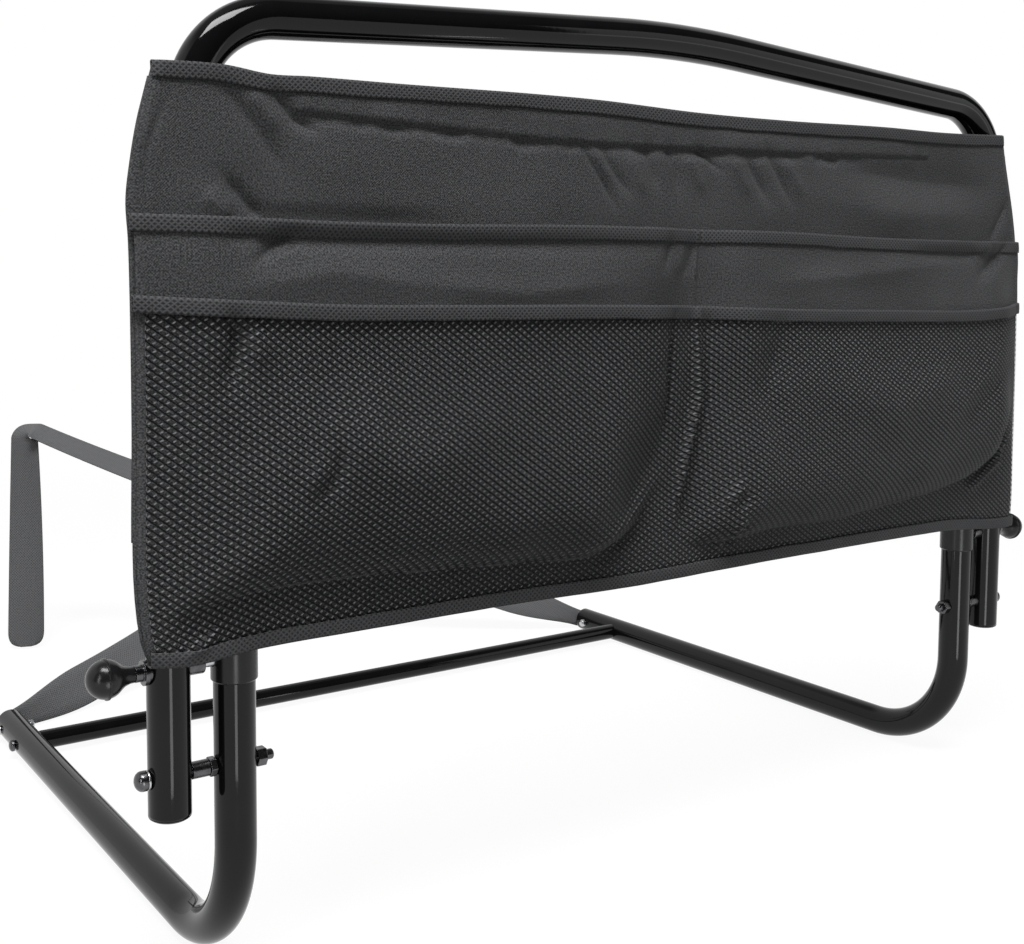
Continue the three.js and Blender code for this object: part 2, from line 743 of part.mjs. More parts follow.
const mouthMiddle = (leanStartHeight + clothPocketMouth) / 2;
const topTaperStart = pouchTop - topTaperHeight;
const frontLevels = [
  pouchHem, pouchHem + hemTaperHeight / 2, pouchHem + hemTaperHeight,
  wrapBottom, leanStartHeight, mouthMiddle, clothPocketMouth,
  topTaperStart, topTaperStart + topTaperHeight / 2, pouchTop,
];
addPiece('pouch_front', loft(frontLevels.map((height) => {
  const left = pouchEdgeAt(-1, height);
  const right = pouchEdgeAt(1, height);
  return levelRing(height, [
    [left, -panelStandOff], [left, -panelFront], [right, -panelFront], [right, -panelStandOff],
  ]);
})), 'cloth');

// Rear panel: wraps round both posts and meets the front panel at the sewn side edges
const wrapTop = pouchTop - bindingWidth - fitGap;
const wrapLevels = [
  wrapBottom, leanStartHeight, mouthMiddle, clothPocketMouth,
  topTaperStart, topTaperStart + topTaperHeight / 2, wrapTop,
];
addPiece('pouch_back', loft(wrapLevels.map((height) => {
  const inside = postCentreAt(height) + tubeRadius + wrapSlack;
  const outside = inside + clothThickness;
  const ease = tubeRadius / 2;
  const rear = tubeRadius + fitGap;
  const seam = -panelStandOff + fitGap;
  const pairsOn = (side) => {
    const edge = side * pouchEdgeAt(side, height);
    return [
      { outer: [edge, seam], inner: [edge - clothThickness, seam] },
      { outer: [outside, -ease], inner: [inside, -ease] },
      { outer: [outside, ease], inner: [inside, ease] },
      { outer: [outside - ease, rear + clothThickness], inner: [inside - ease, rear] },
    ].map(({ outer, inner }) => ({
      outer: [side * outer[0], outer[1]],
      inner: [side * inner[0], inner[1]],
    }));
  };
  const pairs = [...pairsOn(1), ...pairsOn(-1).reverse()];
  return levelRing(height, [
    ...pairs.map((pair) => pair.outer),
    ...pairs.map((pair) => pair.inner).reverse(),
  ]);
})), 'cloth');

// Pockets: two layers, sewn at the sides, the hem and the middle seam, and slack between
const layerGap = bindingThickness + 2 * fitGap;
const pocketFloor = pouchHem + fitGap;

/** Columns across a pocket: each has its place at a height and its share of the full swell. */
const pocketColumns = [];
for (const [from, direction] of [['left', 1], ['seam', -1], ['seam', 1], ['right', -1]]) {
  const steps = Array.from({ length: swellSteps + 1 }, (_, i) => i / swellSteps);
  const ordered = direction > 0 ? steps : steps.reverse();
  for (const share of ordered) {
    const offset = direction * share * pocketRise;
    const place = {
      left: (height) => pouchEdgeAt(-1, height) + pocketSideInset + offset,
      seam: () => pocketSeamOffset + offset,
      right: (height) => pouchEdgeAt(1, height) - pocketSideInset + offset,
    }[from];
    const repeated = from === 'seam' && direction > 0 && share === 0;
    if (!repeated) {
      pocketColumns.push({ place, swell: THREE.MathUtils.smoothstep(share, 0, 1) });
    }
  }
}

/** How much of its gape a pocket keeps at a height, from 0 at its floor to 1 at its mouth. */
function gapeAt(height, mouth) {
  const share = THREE.MathUtils.clamp((height - pocketFloor - bindingWidth) / (mouth - pocketFloor), 0, 1);
  return Math.sin((share * Math.PI) / 2);
}

/** Distance of a pocket's rear face from the pivot plane. */
function pocketRear(swell, height, layer) {
  const cloth = panelFront + layerGap + clothPocketGape * swell * gapeAt(height, clothPocketMouth);
  if (layer === 'cloth') {
    return cloth;
  }
  return cloth + pocketThickness + layerGap + meshPocketGape * swell * gapeAt(height, meshPocketMouth);
}

/** Height of a pocket's mouth: the mesh pocket's mouth sags towards the middle. */
function mouthAt(column, layer) {
  if (layer === 'cloth') {
    return clothPocketMouth;
  }
  const share = column.place(meshPocketMouth) / pouchEdgeAt(1, meshPocketMouth);
  return meshPocketMouth - pocketSag * Math.cos((share * Math.PI) / 2);
}

/** A pocket's skin: a lofted sheet from the floor to the mouth across all columns. */
function pocketGeometry(layer) {
  return loft(pocketColumns.map((column) => {
    const top = mouthAt(column, layer);
    const slackFrom = pocketFloor + bindingWidth;
    const slack = Array.from({ length: pocketRows + 1 }, (_, r) => (
      slackFrom + ((top - slackFrom) * r) / pocketRows
    ));
    const rows = [pocketFloor, ...slack];
    const skin = (extra) => rows.map((height) => new THREE.Vector3(
      column.place(height), -pocketRear(column.swell, height, layer) - extra, height,
    ));
    return [...skin(0), ...skin(pocketThickness).reverse()];
  }));
}
addPiece('pouch_cloth_pocket', pocketGeometry('cloth'), 'cloth');
addPiece('pouch_mesh_pocket', pocketGeometry('mesh'), 'netting');

/**
 * A binding tape folded over an edge: a U section, its fold up or down past the edge. layers(height)
 * gives the place across, the rear face and the front face of what the tape holds.
 */
function bindingRing(layers, edge, up) {
  const fold = edge + up * (fitGap + bindingThickness);
  const open = fold - up * bindingWidth;
  const gap = edge + up * fitGap;
  const rearOut = (height) => [layers(height).rear - fitGap - bindingThickness, height];
  const rearIn = (height) => [layers(height).rear - fitGap, height];
  const frontIn = (height) => [layers(height).front + fitGap, height];
  const frontOut = (height) => [layers(height).front + fitGap + bindingThickness, height];
  return [
    rearOut(open), rearOut(fold), frontOut(fold), frontOut(open),
    frontIn(open), frontIn(gap), rearIn(gap), rearIn(open),
  ].map(([depth, height]) => new THREE.Vector3(layers(height).x, -depth, height));
}

/** The binding along a pocket's mouth, lapped past the side edges. */
function mouthBinding(layer) {
  const ringAt = (column, lap) => {
    const mouth = mouthAt(column, layer);
    const layers = (height) => {
      const rear = pocketRear(column.swell, Math.min(height, mouth), layer);
      return { x: column.place(height) + lap, rear, front: rear + pocketThickness };
    };
    return bindingRing(layers, mouth, 1);
  };
  const lap = pocketSideInset + bindingLap;
  return loft([
    ringAt(pocketColumns[0], -lap),
    ...pocketColumns.map((column) => ringAt(column, 0)),
    ringAt(pocketColumns[pocketColumns.length - 1], lap),
  ]);
}
addPiece('binding_cloth_pocket', mouthBinding('cloth'), 'tape');
addPiece('binding_mesh_pocket', mouthBinding('mesh'), 'tape');

/** A straight binding along the pouch's top or hem, lapped past the side edges. */
function edgeBinding(edge, front, up) {
  return loft([-1, 1].map((side) => {
    const x = pouchEdgeAt(side, edge) + side * bindingLap;
    return bindingRing(() => ({ x, rear: panelStandOff, front }), edge, up);
  }));
}
addPiece('binding_top', edgeBinding(pouchTop, panelFront, 1), 'tape');
const hemFront = pocketRear(0, pouchHem, 'mesh') + pocketThickness;
addPiece('binding_hem', edgeBinding(pouchHem, hemFront, -1), 'tape');

// Origin: the middle of the part's outline, on the surface that it stands on
rail.updateMatrixWorld(true);
const outline = new THREE.Box3().setFromObject(rail, true);
const centre = outline.getCenter(new THREE.Vector3());
rail.position.set(-centre.x, -centre.y, -outline.min.z);

export default rail;
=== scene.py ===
"""A folding bed guard rail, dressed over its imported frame.

Every piece is laid out in millimetres with the pivot plane at Y = 0, X along the rail, -Y towards the
room and +Y under the mattress, and is set into the frame in metres when it is finished.
"""
import json
import logging
import math
from dataclasses import dataclass, field
from enum import Enum
from typing import Callable, Sequence

import bmesh
import bpy
from mathutils import Matrix, Vector, noise


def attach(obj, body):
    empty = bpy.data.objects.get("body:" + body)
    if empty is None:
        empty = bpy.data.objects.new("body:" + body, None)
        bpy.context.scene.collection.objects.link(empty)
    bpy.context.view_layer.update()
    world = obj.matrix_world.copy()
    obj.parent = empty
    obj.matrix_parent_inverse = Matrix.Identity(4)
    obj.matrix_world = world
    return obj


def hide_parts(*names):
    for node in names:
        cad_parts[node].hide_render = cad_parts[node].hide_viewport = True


log = logging.getLogger("bed_rail")
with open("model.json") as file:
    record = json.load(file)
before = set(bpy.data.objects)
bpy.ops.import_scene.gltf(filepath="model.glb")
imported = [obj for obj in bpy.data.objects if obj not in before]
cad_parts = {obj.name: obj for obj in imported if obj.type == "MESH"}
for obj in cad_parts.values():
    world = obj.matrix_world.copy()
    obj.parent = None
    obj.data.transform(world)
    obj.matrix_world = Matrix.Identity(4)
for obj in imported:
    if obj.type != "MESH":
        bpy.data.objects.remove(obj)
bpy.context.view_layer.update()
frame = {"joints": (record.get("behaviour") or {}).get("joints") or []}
METRE = 0.001
MERGE_DISTANCE = 0.001
FINE_STEPS = 48
UP = Vector((0, 0, 1))


class Side(Enum):
    """The two ends of the rail, seen from the room."""

    LEFT = -1
    RIGHT = 1

    @property
    def label(self) -> str:
        """The side's word in the names of pieces and bodies."""
        return self.name.lower()


class Slot(Enum):
    """The record's material slots."""

    PAINT = "tube_paint"
    PLASTIC = "plastic"
    STEEL = "steel"
    BLACK_STEEL = "black_hardware"
    CLOTH = "cloth"
    NETTING = "netting"
    TAPE = "binding"
    WEBBING = "webbing"


def smooth(value: float, low: float, high: float) -> float:
    """Rises smoothly from 0 at low to 1 at high."""
    share = min(1.0, max(0.0, (value - low) / (high - low)))
    return share * share * (3 - 2 * share)


def blend(low: float, high: float, share: float) -> float:
    """The value at a share of the way from low to high."""
    return low + (high - low) * share


def pivot_depth() -> float:
    """Y of the pivot plane in the frame, in metres."""
    hinge = next(joint for joint in frame["joints"] if joint["name"] == "handle_fold")
    return hinge["pos_m"][1]


# Finishes


Shade = tuple[float, float, float]
Socket = bpy.types.NodeSocket


class Nodes:
    """A node tree, with short calls that add nodes and join them."""

    def __init__(self, tree: bpy.types.NodeTree) -> None:
        """Takes on the tree that the nodes go into."""
        self.tree = tree

    def add(self, kind: str, **settings: object) -> bpy.types.Node:
        """Adds a node.

        Args:
            kind: The node's type, without its leading ShaderNode.
            settings: Properties of the node, or values of its inputs by name.

        Returns:
            The new node.
        """
        node = self.tree.nodes.new("ShaderNode" + kind)
        for key, value in settings.items():
            if hasattr(node, key):
                setattr(node, key, value)
            else:
                node.inputs[key.replace("_", " ").title()].default_value = value
        return node

    def join(self, source: Socket, target: Socket) -> None:
        """Links an output to an input."""
        self.tree.links.new(source, target)

    def split(self, source: Socket) -> bpy.types.bpy_prop_collection:
        """Splits a vector into its X, Y and Z outputs."""
        node = self.add("SeparateXYZ")
        self.join(source, node.inputs[0])
        return node.outputs

    def noise(self, where: Socket, scale: float, detail: float) -> Socket:
        """Makes cloudy noise.

        Args:
            where: The place that it is read at.
            scale: Its waves per metre.
            detail: Finer waves within them.

        Returns:
            A value from 0 to 1.
        """
        node = self.add("TexNoise", scale=scale, detail=detail)
        self.join(where, node.inputs["Vector"])
        return node.outputs["Fac"]

    def math(self, operation: str, *values: object) -> Socket:
        """Works out a value.

        Args:
            operation: The Math node's operation.
            values: The sockets and numbers that it works on.

        Returns:
            The result.
        """
        node = self.add("Math", operation=operation)
        for socket, value in zip(node.inputs, values):
            if isinstance(value, Socket):
                self.join(value, socket)
            else:
                socket.default_value = value
        return node.outputs[0]

    def spread(self, source: Socket, low: float, high: float, **settings: object) -> Socket:
        """Spreads a value's range over another.

        Args:
            source: The value.
            low: The result where the value is 0, or the settings' from_min.
            high: The result where it is 1, or the settings' from_max.
            settings: Other settings of the Map Range node.

        Returns:
            The result.
        """
        node = self.add("MapRange", to_min=low, to_max=high, **settings)
        self.join(source, node.inputs["Value"])
        return node.outputs["Result"]


class Recipe(Nodes):
    """A material's node tree, round one Principled shader."""

    def __init__(self, name: str) -> None:
        """Starts a material of a name."""
        self.material = bpy.data.materials.new(name)
        self.material.use_nodes = True
        super().__init__(self.material.node_tree)
        self.shader = self.tree.nodes["Principled BSDF"]

    def place(self, uv: bool = False) -> Socket:
        """The coordinates that a pattern reads: the piece's UV map, or its own Object coordinates."""
        return self.add("TexCoord").outputs["UV" if uv else "Object"]

    def shades(self, source: Socket, dark: Shade, light: Shade) -> Socket:
        """Turns a value into a colour.

        Args:
            source: The value.
            dark: The shade at 0.
            light: The shade at 1.

        Returns:
            The colour.
        """
        node = self.add("Mix", data_type="RGBA")
        colours = [socket for socket in node.inputs if socket.type == "RGBA"]
        colours[0].default_value = (*dark, 1)
        colours[1].default_value = (*light, 1)
        self.join(source, node.inputs["Factor"])
        return next(socket for socket in node.outputs if socket.type == "RGBA")

    def bump(self, height: Socket, depth: float, strength: float) -> None:
        """Gives the surface a relief.

        Args:
            height: The relief.
            depth: What a height of 1 stands for, in metres.
            strength: How much of it shows.
        """
        node = self.add("Bump", strength=strength, distance=depth)
        self.join(height, node.inputs["Height"])
        self.feed("Normal", node.outputs["Normal"])

    def feed(self, name: str, value: object) -> None:
        """Sets one of the shader's inputs.

        Args:
            name: The input.
            value: A socket that feeds it, or a plain value.
        """
        target = self.shader.inputs[name]
        if isinstance(value, Socket):
            self.join(value, target)
        else:
            target.default_value = value


@dataclass(frozen=True)
class HardFinish:
    """A hard finish: a shade that drifts a little, an uneven gloss and a fine grain.

    Scales are waves per metre and depths are metres.
    """

    name: str
    dark: Shade
    light: Shade
    roughness: float
    smoother: float
    rougher: float
    cloud_scale: float
    cloud_detail: float
    grain_scale: float
    grain_detail: float
    grain_depth: float
    grain_strength: float
    specular: float = 0.5
    metallic: float = 0

    def material(self) -> bpy.types.Material:
        """Builds the finish.

        Returns:
            The new material.
        """
        recipe = Recipe(self.name)
        where = recipe.place()
        clouds = recipe.noise(where, self.cloud_scale, self.cloud_detail)
        grain = recipe.noise(where, self.grain_scale, self.grain_detail)
        recipe.feed("Base Color", recipe.shades(clouds, self.dark, self.light))
        gloss = recipe.spread(clouds, self.roughness - self.smoother, self.roughness + self.rougher)
        recipe.feed("Roughness", gloss)
        recipe.bump(grain, self.grain_depth, self.grain_strength)
        recipe.feed("Specular IOR Level", self.specular)
        recipe.feed("Metallic", self.metallic)
        return recipe.material


@dataclass(frozen=True)
class GlossPaint(HardFinish):
    """Black powder coat with a high gloss and a faint orange peel."""

    name: str = "gloss_black_powder_coat"
    dark: Shade = (0.003, 0.003, 0.0035)
    light: Shade = (0.007, 0.007, 0.0075)
    roughness: float = 0.07
    smoother: float = 0.03
    rougher: float = 0.05
    cloud_scale: float = 40
    cloud_detail: float = 4
    grain_scale: float = 260
    grain_detail: float = 1
    grain_depth: float = 0.00005
    grain_strength: float = 0.35
    specular: float = 0.24


@dataclass(frozen=True)
class MouldedPlastic(HardFinish):
    """Black moulded plastic with a satin grain."""

    name: str = "satin_black_plastic"
    dark: Shade = (0.008, 0.008, 0.009)
    light: Shade = (0.014, 0.014, 0.015)
    roughness: float = 0.22
    smoother: float = 0.05
    rougher: float = 0.1
    cloud_scale: float = 90
    cloud_detail: float = 3
    grain_scale: float = 1800
    grain_detail: float = 2
    grain_depth: float = 0.00004
    grain_strength: float = 0.4
    specular: float = 0.3


@dataclass(frozen=True)
class PlatedSteel(HardFinish):
    """Plated steel: bright zinc, or black where its shades and roughness say so."""

    name: str = "bright_zinc"
    dark: Shade = (0.42, 0.43, 0.44)
    light: Shade = (0.62, 0.63, 0.64)
    roughness: float = 0.26
    smoother: float = 0.06
    rougher: float = 0.1
    cloud_scale: float = 300
    cloud_detail: float = 4
    grain_scale: float = 2500
    grain_detail: float = 2
    grain_depth: float = 0.00002
    grain_strength: float = 0.3
    metallic: float = 1


@dataclass(frozen=True)
class WovenCloth:
    """Plain woven polyester, its threads along the piece's UV map."""

    name: str = "black_polyester_cloth"
    dark: Shade = (0.038, 0.0385, 0.040)
    light: Shade = (0.126, 0.127, 0.132)
    pitch: float = 0.00085
    roughness: float = 0.62
    smoother: float = 0.05
    rougher: float = 0.08
    cloud_scale: float = 22
    cloud_detail: float = 4
    slub_scale: float = 900
    slub_low: float = -1.4
    slub_high: float = 2.4
    thread_share: float = 0.3
    slub_share: float = 0.8
    cloud_share: float = 0.25
    darkening: float = 0.18
    slub_relief_share: float = 0.35
    relief_depth: float = 0.0003
    relief_strength: float = 0.5
    sheen: float = 0.06
    sheen_roughness: float = 0.4
    specular: float = 0.06

    def threads(self, recipe: Recipe) -> Socket:
        """The height of a plain weave: warp and weft that pass over each other in turn.

        Args:
            recipe: The material that is being built.

        Returns:
            The height, from 0 to 1.
        """
        where = recipe.split(recipe.place(uv=True))
        turn = math.pi / self.pitch
        across = recipe.math("SINE", recipe.math("MULTIPLY", where["X"], turn))
        along = recipe.math("SINE", recipe.math("MULTIPLY", where["Y"], turn))
        woven = recipe.math("MULTIPLY", across, along)
        return recipe.math("MULTIPLY_ADD", woven, 0.5, 0.5)

    def material(self) -> bpy.types.Material:
        """Builds the finish.

        Returns:
            The new material.
        """
        recipe = Recipe(self.name)
        weave = self.threads(recipe)
        where = recipe.place(uv=True)
        clouds = recipe.noise(where, self.cloud_scale, self.cloud_detail)
        slubs = recipe.spread(recipe.noise(where, self.slub_scale, 1), self.slub_low, self.slub_high)
        tone = recipe.math("MULTIPLY", slubs, self.slub_share)
        tone = recipe.math("MULTIPLY_ADD", weave, self.thread_share, tone)
        tone = recipe.math("MULTIPLY_ADD", clouds, self.cloud_share, tone)
        tone = recipe.math("SUBTRACT", tone, self.darkening)
        recipe.feed("Base Color", recipe.shades(tone, self.dark, self.light))
        gloss = recipe.spread(slubs, self.roughness - self.smoother, self.roughness + self.rougher)
        recipe.feed("Roughness", gloss)
        relief = recipe.math("MULTIPLY_ADD", slubs, self.slub_relief_share, weave)
        recipe.bump(relief, self.relief_depth, self.relief_strength)
        recipe.feed("Sheen Weight", self.sheen)
        recipe.feed("Sheen Roughness", self.sheen_roughness)
        recipe.feed("Specular IOR Level", self.specular)
        return recipe.material


@dataclass(frozen=True)
class NetStrand:
    """Knitted polyester strand, with a painted highlight: the strands that rise to the right are painted
    lighter, as a lamp up to the left would glint on them, so those that fall to the right are darker than
    those they cross.
    """

    name: str = "black_net_strand"
    dark: Shade = (0.005, 0.005, 0.006)
    # The light shade is the painted highlight of the strands that rise to the right.
    light: Shade = (0.26, 0.262, 0.27)
    width: float = 0.0062
    height: float = 0.00425
    roughness: float = 0.34
    smoother: float = 0.12
    rougher: float = 0.15
    glint_contrast: float = -0.75
    glint_middle: float = 0.4
    fibre_scale: float = 900
    fibre_detail: float = 2
    fibre_gain: float = 2
    fibre_depth: float = 0.0002
    fibre_strength: float = 0.5
    specular: float = 0.1

    def material(self) -> bpy.types.Material:
        """Builds the finish.

        Returns:
            The new material.
        """
        recipe = Recipe(self.name)
        where = recipe.place(uv=True)
        parts = recipe.split(where)
        turn = 2 * math.pi
        across = recipe.math("MULTIPLY", parts["X"], turn / self.width)
        upward = recipe.math("MULTIPLY", parts["Y"], turn / self.height)
        # Painted highlight: a diagonal wave paints the strands that rise to the right lighter, as glints, and
        # leaves those that fall to the right dark.
        rising = recipe.math("COSINE", recipe.math("ADD", across, upward))
        glint_tone = recipe.math("MULTIPLY_ADD", rising, self.glint_contrast, self.glint_middle)
        fibres = recipe.noise(where, self.fibre_scale, self.fibre_detail)
        gain = recipe.math("MULTIPLY", fibres, self.fibre_gain)
        tone = recipe.math("MULTIPLY", recipe.math("MAXIMUM", glint_tone, 0), gain)
        recipe.feed("Base Color", recipe.shades(tone, self.dark, self.light))
        gloss = recipe.spread(fibres, self.roughness - self.smoother, self.roughness + self.rougher)
        recipe.feed("Roughness", gloss)
        recipe.bump(fibres, self.fibre_depth, self.fibre_strength)
        recipe.feed("Specular IOR Level", self.specular)
        return recipe.material


@dataclass(frozen=True)
class RibbedTape:
    """Ribbed tape or webbing: fine crossed ribs, along the piece's UV map, their raised tops painted lighter
    as a painted highlight.
    """

    name: str
    dark: Shade
    light: Shade
    pitch: float
    roughness: float = 0.6
    rib_highlight_share: float = 0.6
    slub_scale: float = 900
    slub_detail: float = 2
    slub_share: float = 0.4
    relief_depth: float = 0.0004
    relief_strength: float = 0.7
    specular: float = 0.08

    def material(self) -> bpy.types.Material:
        """Builds the finish.

        Returns:
            The new material.
        """
        recipe = Recipe(self.name)
        where = recipe.place(uv=True)
        parts = recipe.split(where)
        turn = 2 * math.pi / self.pitch
        along = recipe.math("MULTIPLY", parts["X"], turn)
        across = recipe.math("MULTIPLY", parts["Y"], turn)
        rising = recipe.math("SINE", recipe.math("ADD", along, across))
        falling = recipe.math("SINE", recipe.math("SUBTRACT", along, across))
        relief = recipe.math("MULTIPLY_ADD", recipe.math("MAXIMUM", rising, falling), 0.5, 0.5)
        slubs = recipe.noise(where, self.slub_scale, self.slub_detail)
        tone = recipe.math("MULTIPLY", slubs, self.slub_share)
        # The crossed ribs' tone follows their height: partly the tape's own rib pattern and partly a painted
        # highlight on the raised tops.
        tone = recipe.math("MULTIPLY_ADD", relief, self.rib_highlight_share, tone)
        recipe.feed("Base Color", recipe.shades(tone, self.dark, self.light))
        recipe.bump(relief, self.relief_depth, self.relief_strength)
        recipe.feed("Roughness", self.roughness)
        recipe.feed("Specular IOR Level", self.specular)
        return recipe.material


@dataclass
class Finishes:
    """The materials by slot, made once and shared by the pieces."""

    by_slot: dict[Slot, bpy.types.Material] = field(default_factory=lambda: {
        Slot.PAINT: GlossPaint().material(),
        Slot.PLASTIC: MouldedPlastic().material(),
        Slot.STEEL: PlatedSteel().material(),
        Slot.BLACK_STEEL: PlatedSteel(
            name="black_zinc", dark=(0.05, 0.05, 0.053), light=(0.16, 0.16, 0.167), roughness=0.24,
        ).material(),
        Slot.CLOTH: WovenCloth().material(),
        Slot.NETTING: NetStrand().material(),
        Slot.TAPE: RibbedTape(
            name="binding_tape", dark=(0.002, 0.002, 0.0025), light=(0.118, 0.119, 0.124), pitch=0.0034,
        ).material(),
        Slot.WEBBING: RibbedTape(
            name="strap_webbing", dark=(0.06, 0.061, 0.063), light=(0.2, 0.202, 0.208), pitch=0.003,
        ).material(),
    })


# Making pieces


def in_frame(mesh: bmesh.types.BMesh, name: str) -> bpy.types.Mesh:
    """Sets a mesh that was modelled in millimetres into the frame.

    Args:
        mesh: The mesh, which is used up.
        name: The name of its data.

    Returns:
        The mesh data, in metres.
    """
    bmesh.ops.scale(mesh, vec=(METRE, METRE, METRE), verts=mesh.verts)
    bmesh.ops.translate(mesh, vec=(0, pivot_depth(), 0), verts=mesh.verts)
    data = bpy.data.meshes.new(name)
    mesh.to_mesh(data)
    mesh.free()
    return data


def shown_object(name: str, data: bpy.types.ID) -> bpy.types.Object:
    """Adds an object to the scene for a mesh, a lamp or a camera."""
    thing = bpy.data.objects.new(name, data)
    bpy.context.scene.collection.objects.link(thing)
    return thing


def stood_up(x: float, height: float) -> Matrix:
    """Turns a profile's axis upright, at a place on the pivot plane."""
    return Matrix.Translation((x, 0, height)) @ Matrix.Rotation(-math.pi / 2, 4, "Y")


def on_side(side: Side, depth: float, height: float) -> Matrix:
    """Sets a profile of the right side at a depth and height, on either side."""
    return Matrix.Translation((0, depth, height)) @ Matrix.Diagonal((side.value, 1, 1, 1))


def quarter_dome(start: float, height: float, radius: float, steps: int) -> list[tuple[float, float]]:
    """The profile of a low dome, from its rim to the axis.

    Args:
        start: Where it rises from, along the axis.
        height: How far it rises.
        radius: Its radius at the rim.
        steps: Steps in the round.

    Returns:
        Pairs of distance along the axis and radius.
    """
    turns = [math.pi / 2 * step / steps for step in range(steps)]
    round_part = [(start + height * math.sin(turn), radius * math.cos(turn)) for turn in turns]
    return [*round_part, (start + height, 0)]


class Piece:
    """One mesh under way: modelled in millimetres, then set into the frame."""

    def __init__(self, node: str) -> None:
        """Starts an empty mesh that stands for a node of the frame."""
        self.node = node
        self.name = f"dressed_{node}"
        self.mesh = bmesh.new()

    def finish(
        self, body: str, slot: Slot, finishes: Finishes, shade_smooth: bool = True,
    ) -> bpy.types.Object:
        """Sets the mesh into the frame as an object that rides on a body.

        Args:
            body: The body that it moves with.
            slot: The record's material slot.
            finishes: The shared materials.
            shade_smooth: Whether its faces are shaded smooth.

        Returns:
            The new object.
        """
        for face in self.mesh.faces:
            face.smooth = shade_smooth
        data = in_frame(self.mesh, self.name)
        data.materials.append(finishes.by_slot[slot])
        piece = shown_object(self.name, data)
        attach(piece, body)
        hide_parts(self.node)
        log.info("%s: %d faces on %s", self.name, len(data.polygons), body)
        return piece

    def tidy(self) -> None:
        """Merges doubles and turns the faces outwards."""
        bmesh.ops.remove_doubles(self.mesh, verts=self.mesh.verts, dist=MERGE_DISTANCE)
        bmesh.ops.recalc_face_normals(self.mesh, faces=self.mesh.faces)

    def turn(self, profile: Sequence[tuple[float, float]], steps: int = 40, closed: bool = False) -> None:
        """Spins a profile round the X axis.

        Args:
            profile: Pairs of distance along X and radius.
            steps: Facets round the axis.
            closed: Whether the profile is a ring, as of a washer or sleeve.
        """
        verts = [self.mesh.verts.new((along, radius, 0)) for along, radius in profile]
        pairs = list(zip(verts, verts[1:]))
        if closed:
            pairs.append((verts[-1], verts[0]))
        edges = [self.mesh.edges.new(pair) for pair in pairs]
        bmesh.ops.spin(
            self.mesh, geom=verts + edges, cent=(0, 0, 0), axis=(1, 0, 0), dvec=(0, 0, 0),
            angle=2 * math.pi, steps=steps, use_merge=True, use_duplicate=False,
        )
        self.tidy()

    def lay(self, matrix: Matrix) -> None:
        """Moves the whole mesh, and turns its faces back outwards where it is mirrored."""
        bmesh.ops.transform(self.mesh, matrix=matrix, verts=self.mesh.verts)
        if matrix.determinant() < 0:
            bmesh.ops.reverse_faces(self.mesh, faces=self.mesh.faces)


def bevelled(piece: bpy.types.Object, width: float, segments: int = 2, angle: float = 35) -> bpy.types.Object:
    """Rounds a piece's sharp edges.

    Args:
        piece: The piece.
        width: Width of the bevel in millimetres.
        segments: Steps in the round.
        angle: Edges sharper than this many degrees are rounded.

    Returns:
        The same piece.
    """
    bevel = piece.modifiers.new("rounded_edges", "BEVEL")
    bevel.width = width * METRE
    bevel.segments = segments
    bevel.limit_method = "ANGLE"
    bevel.angle_limit = math.radians(angle)
    bevel.harden_normals = True
    return piece


def walled(piece: bpy.types.Object, thickness: float, offset: float = -1) -> bpy.types.Object:
    """Gives a surface its wall.

    Args:
        piece: The piece.
        thickness: The wall in millimetres.
        offset: -1 puts the wall behind the faces, 1 in front of them.

    Returns:
        The same piece.
    """
    wall = piece.modifiers.new("wall", "SOLIDIFY")
    wall.thickness = thickness * METRE
    wall.offset = offset
    wall.use_even_offset = True
    return piece


@dataclass(frozen=True)
class Bend:
    """A corner of a bent tube: where the straight runs meet, and the radius of the bend."""

    corner: Vector
    radius: float
    steps: int


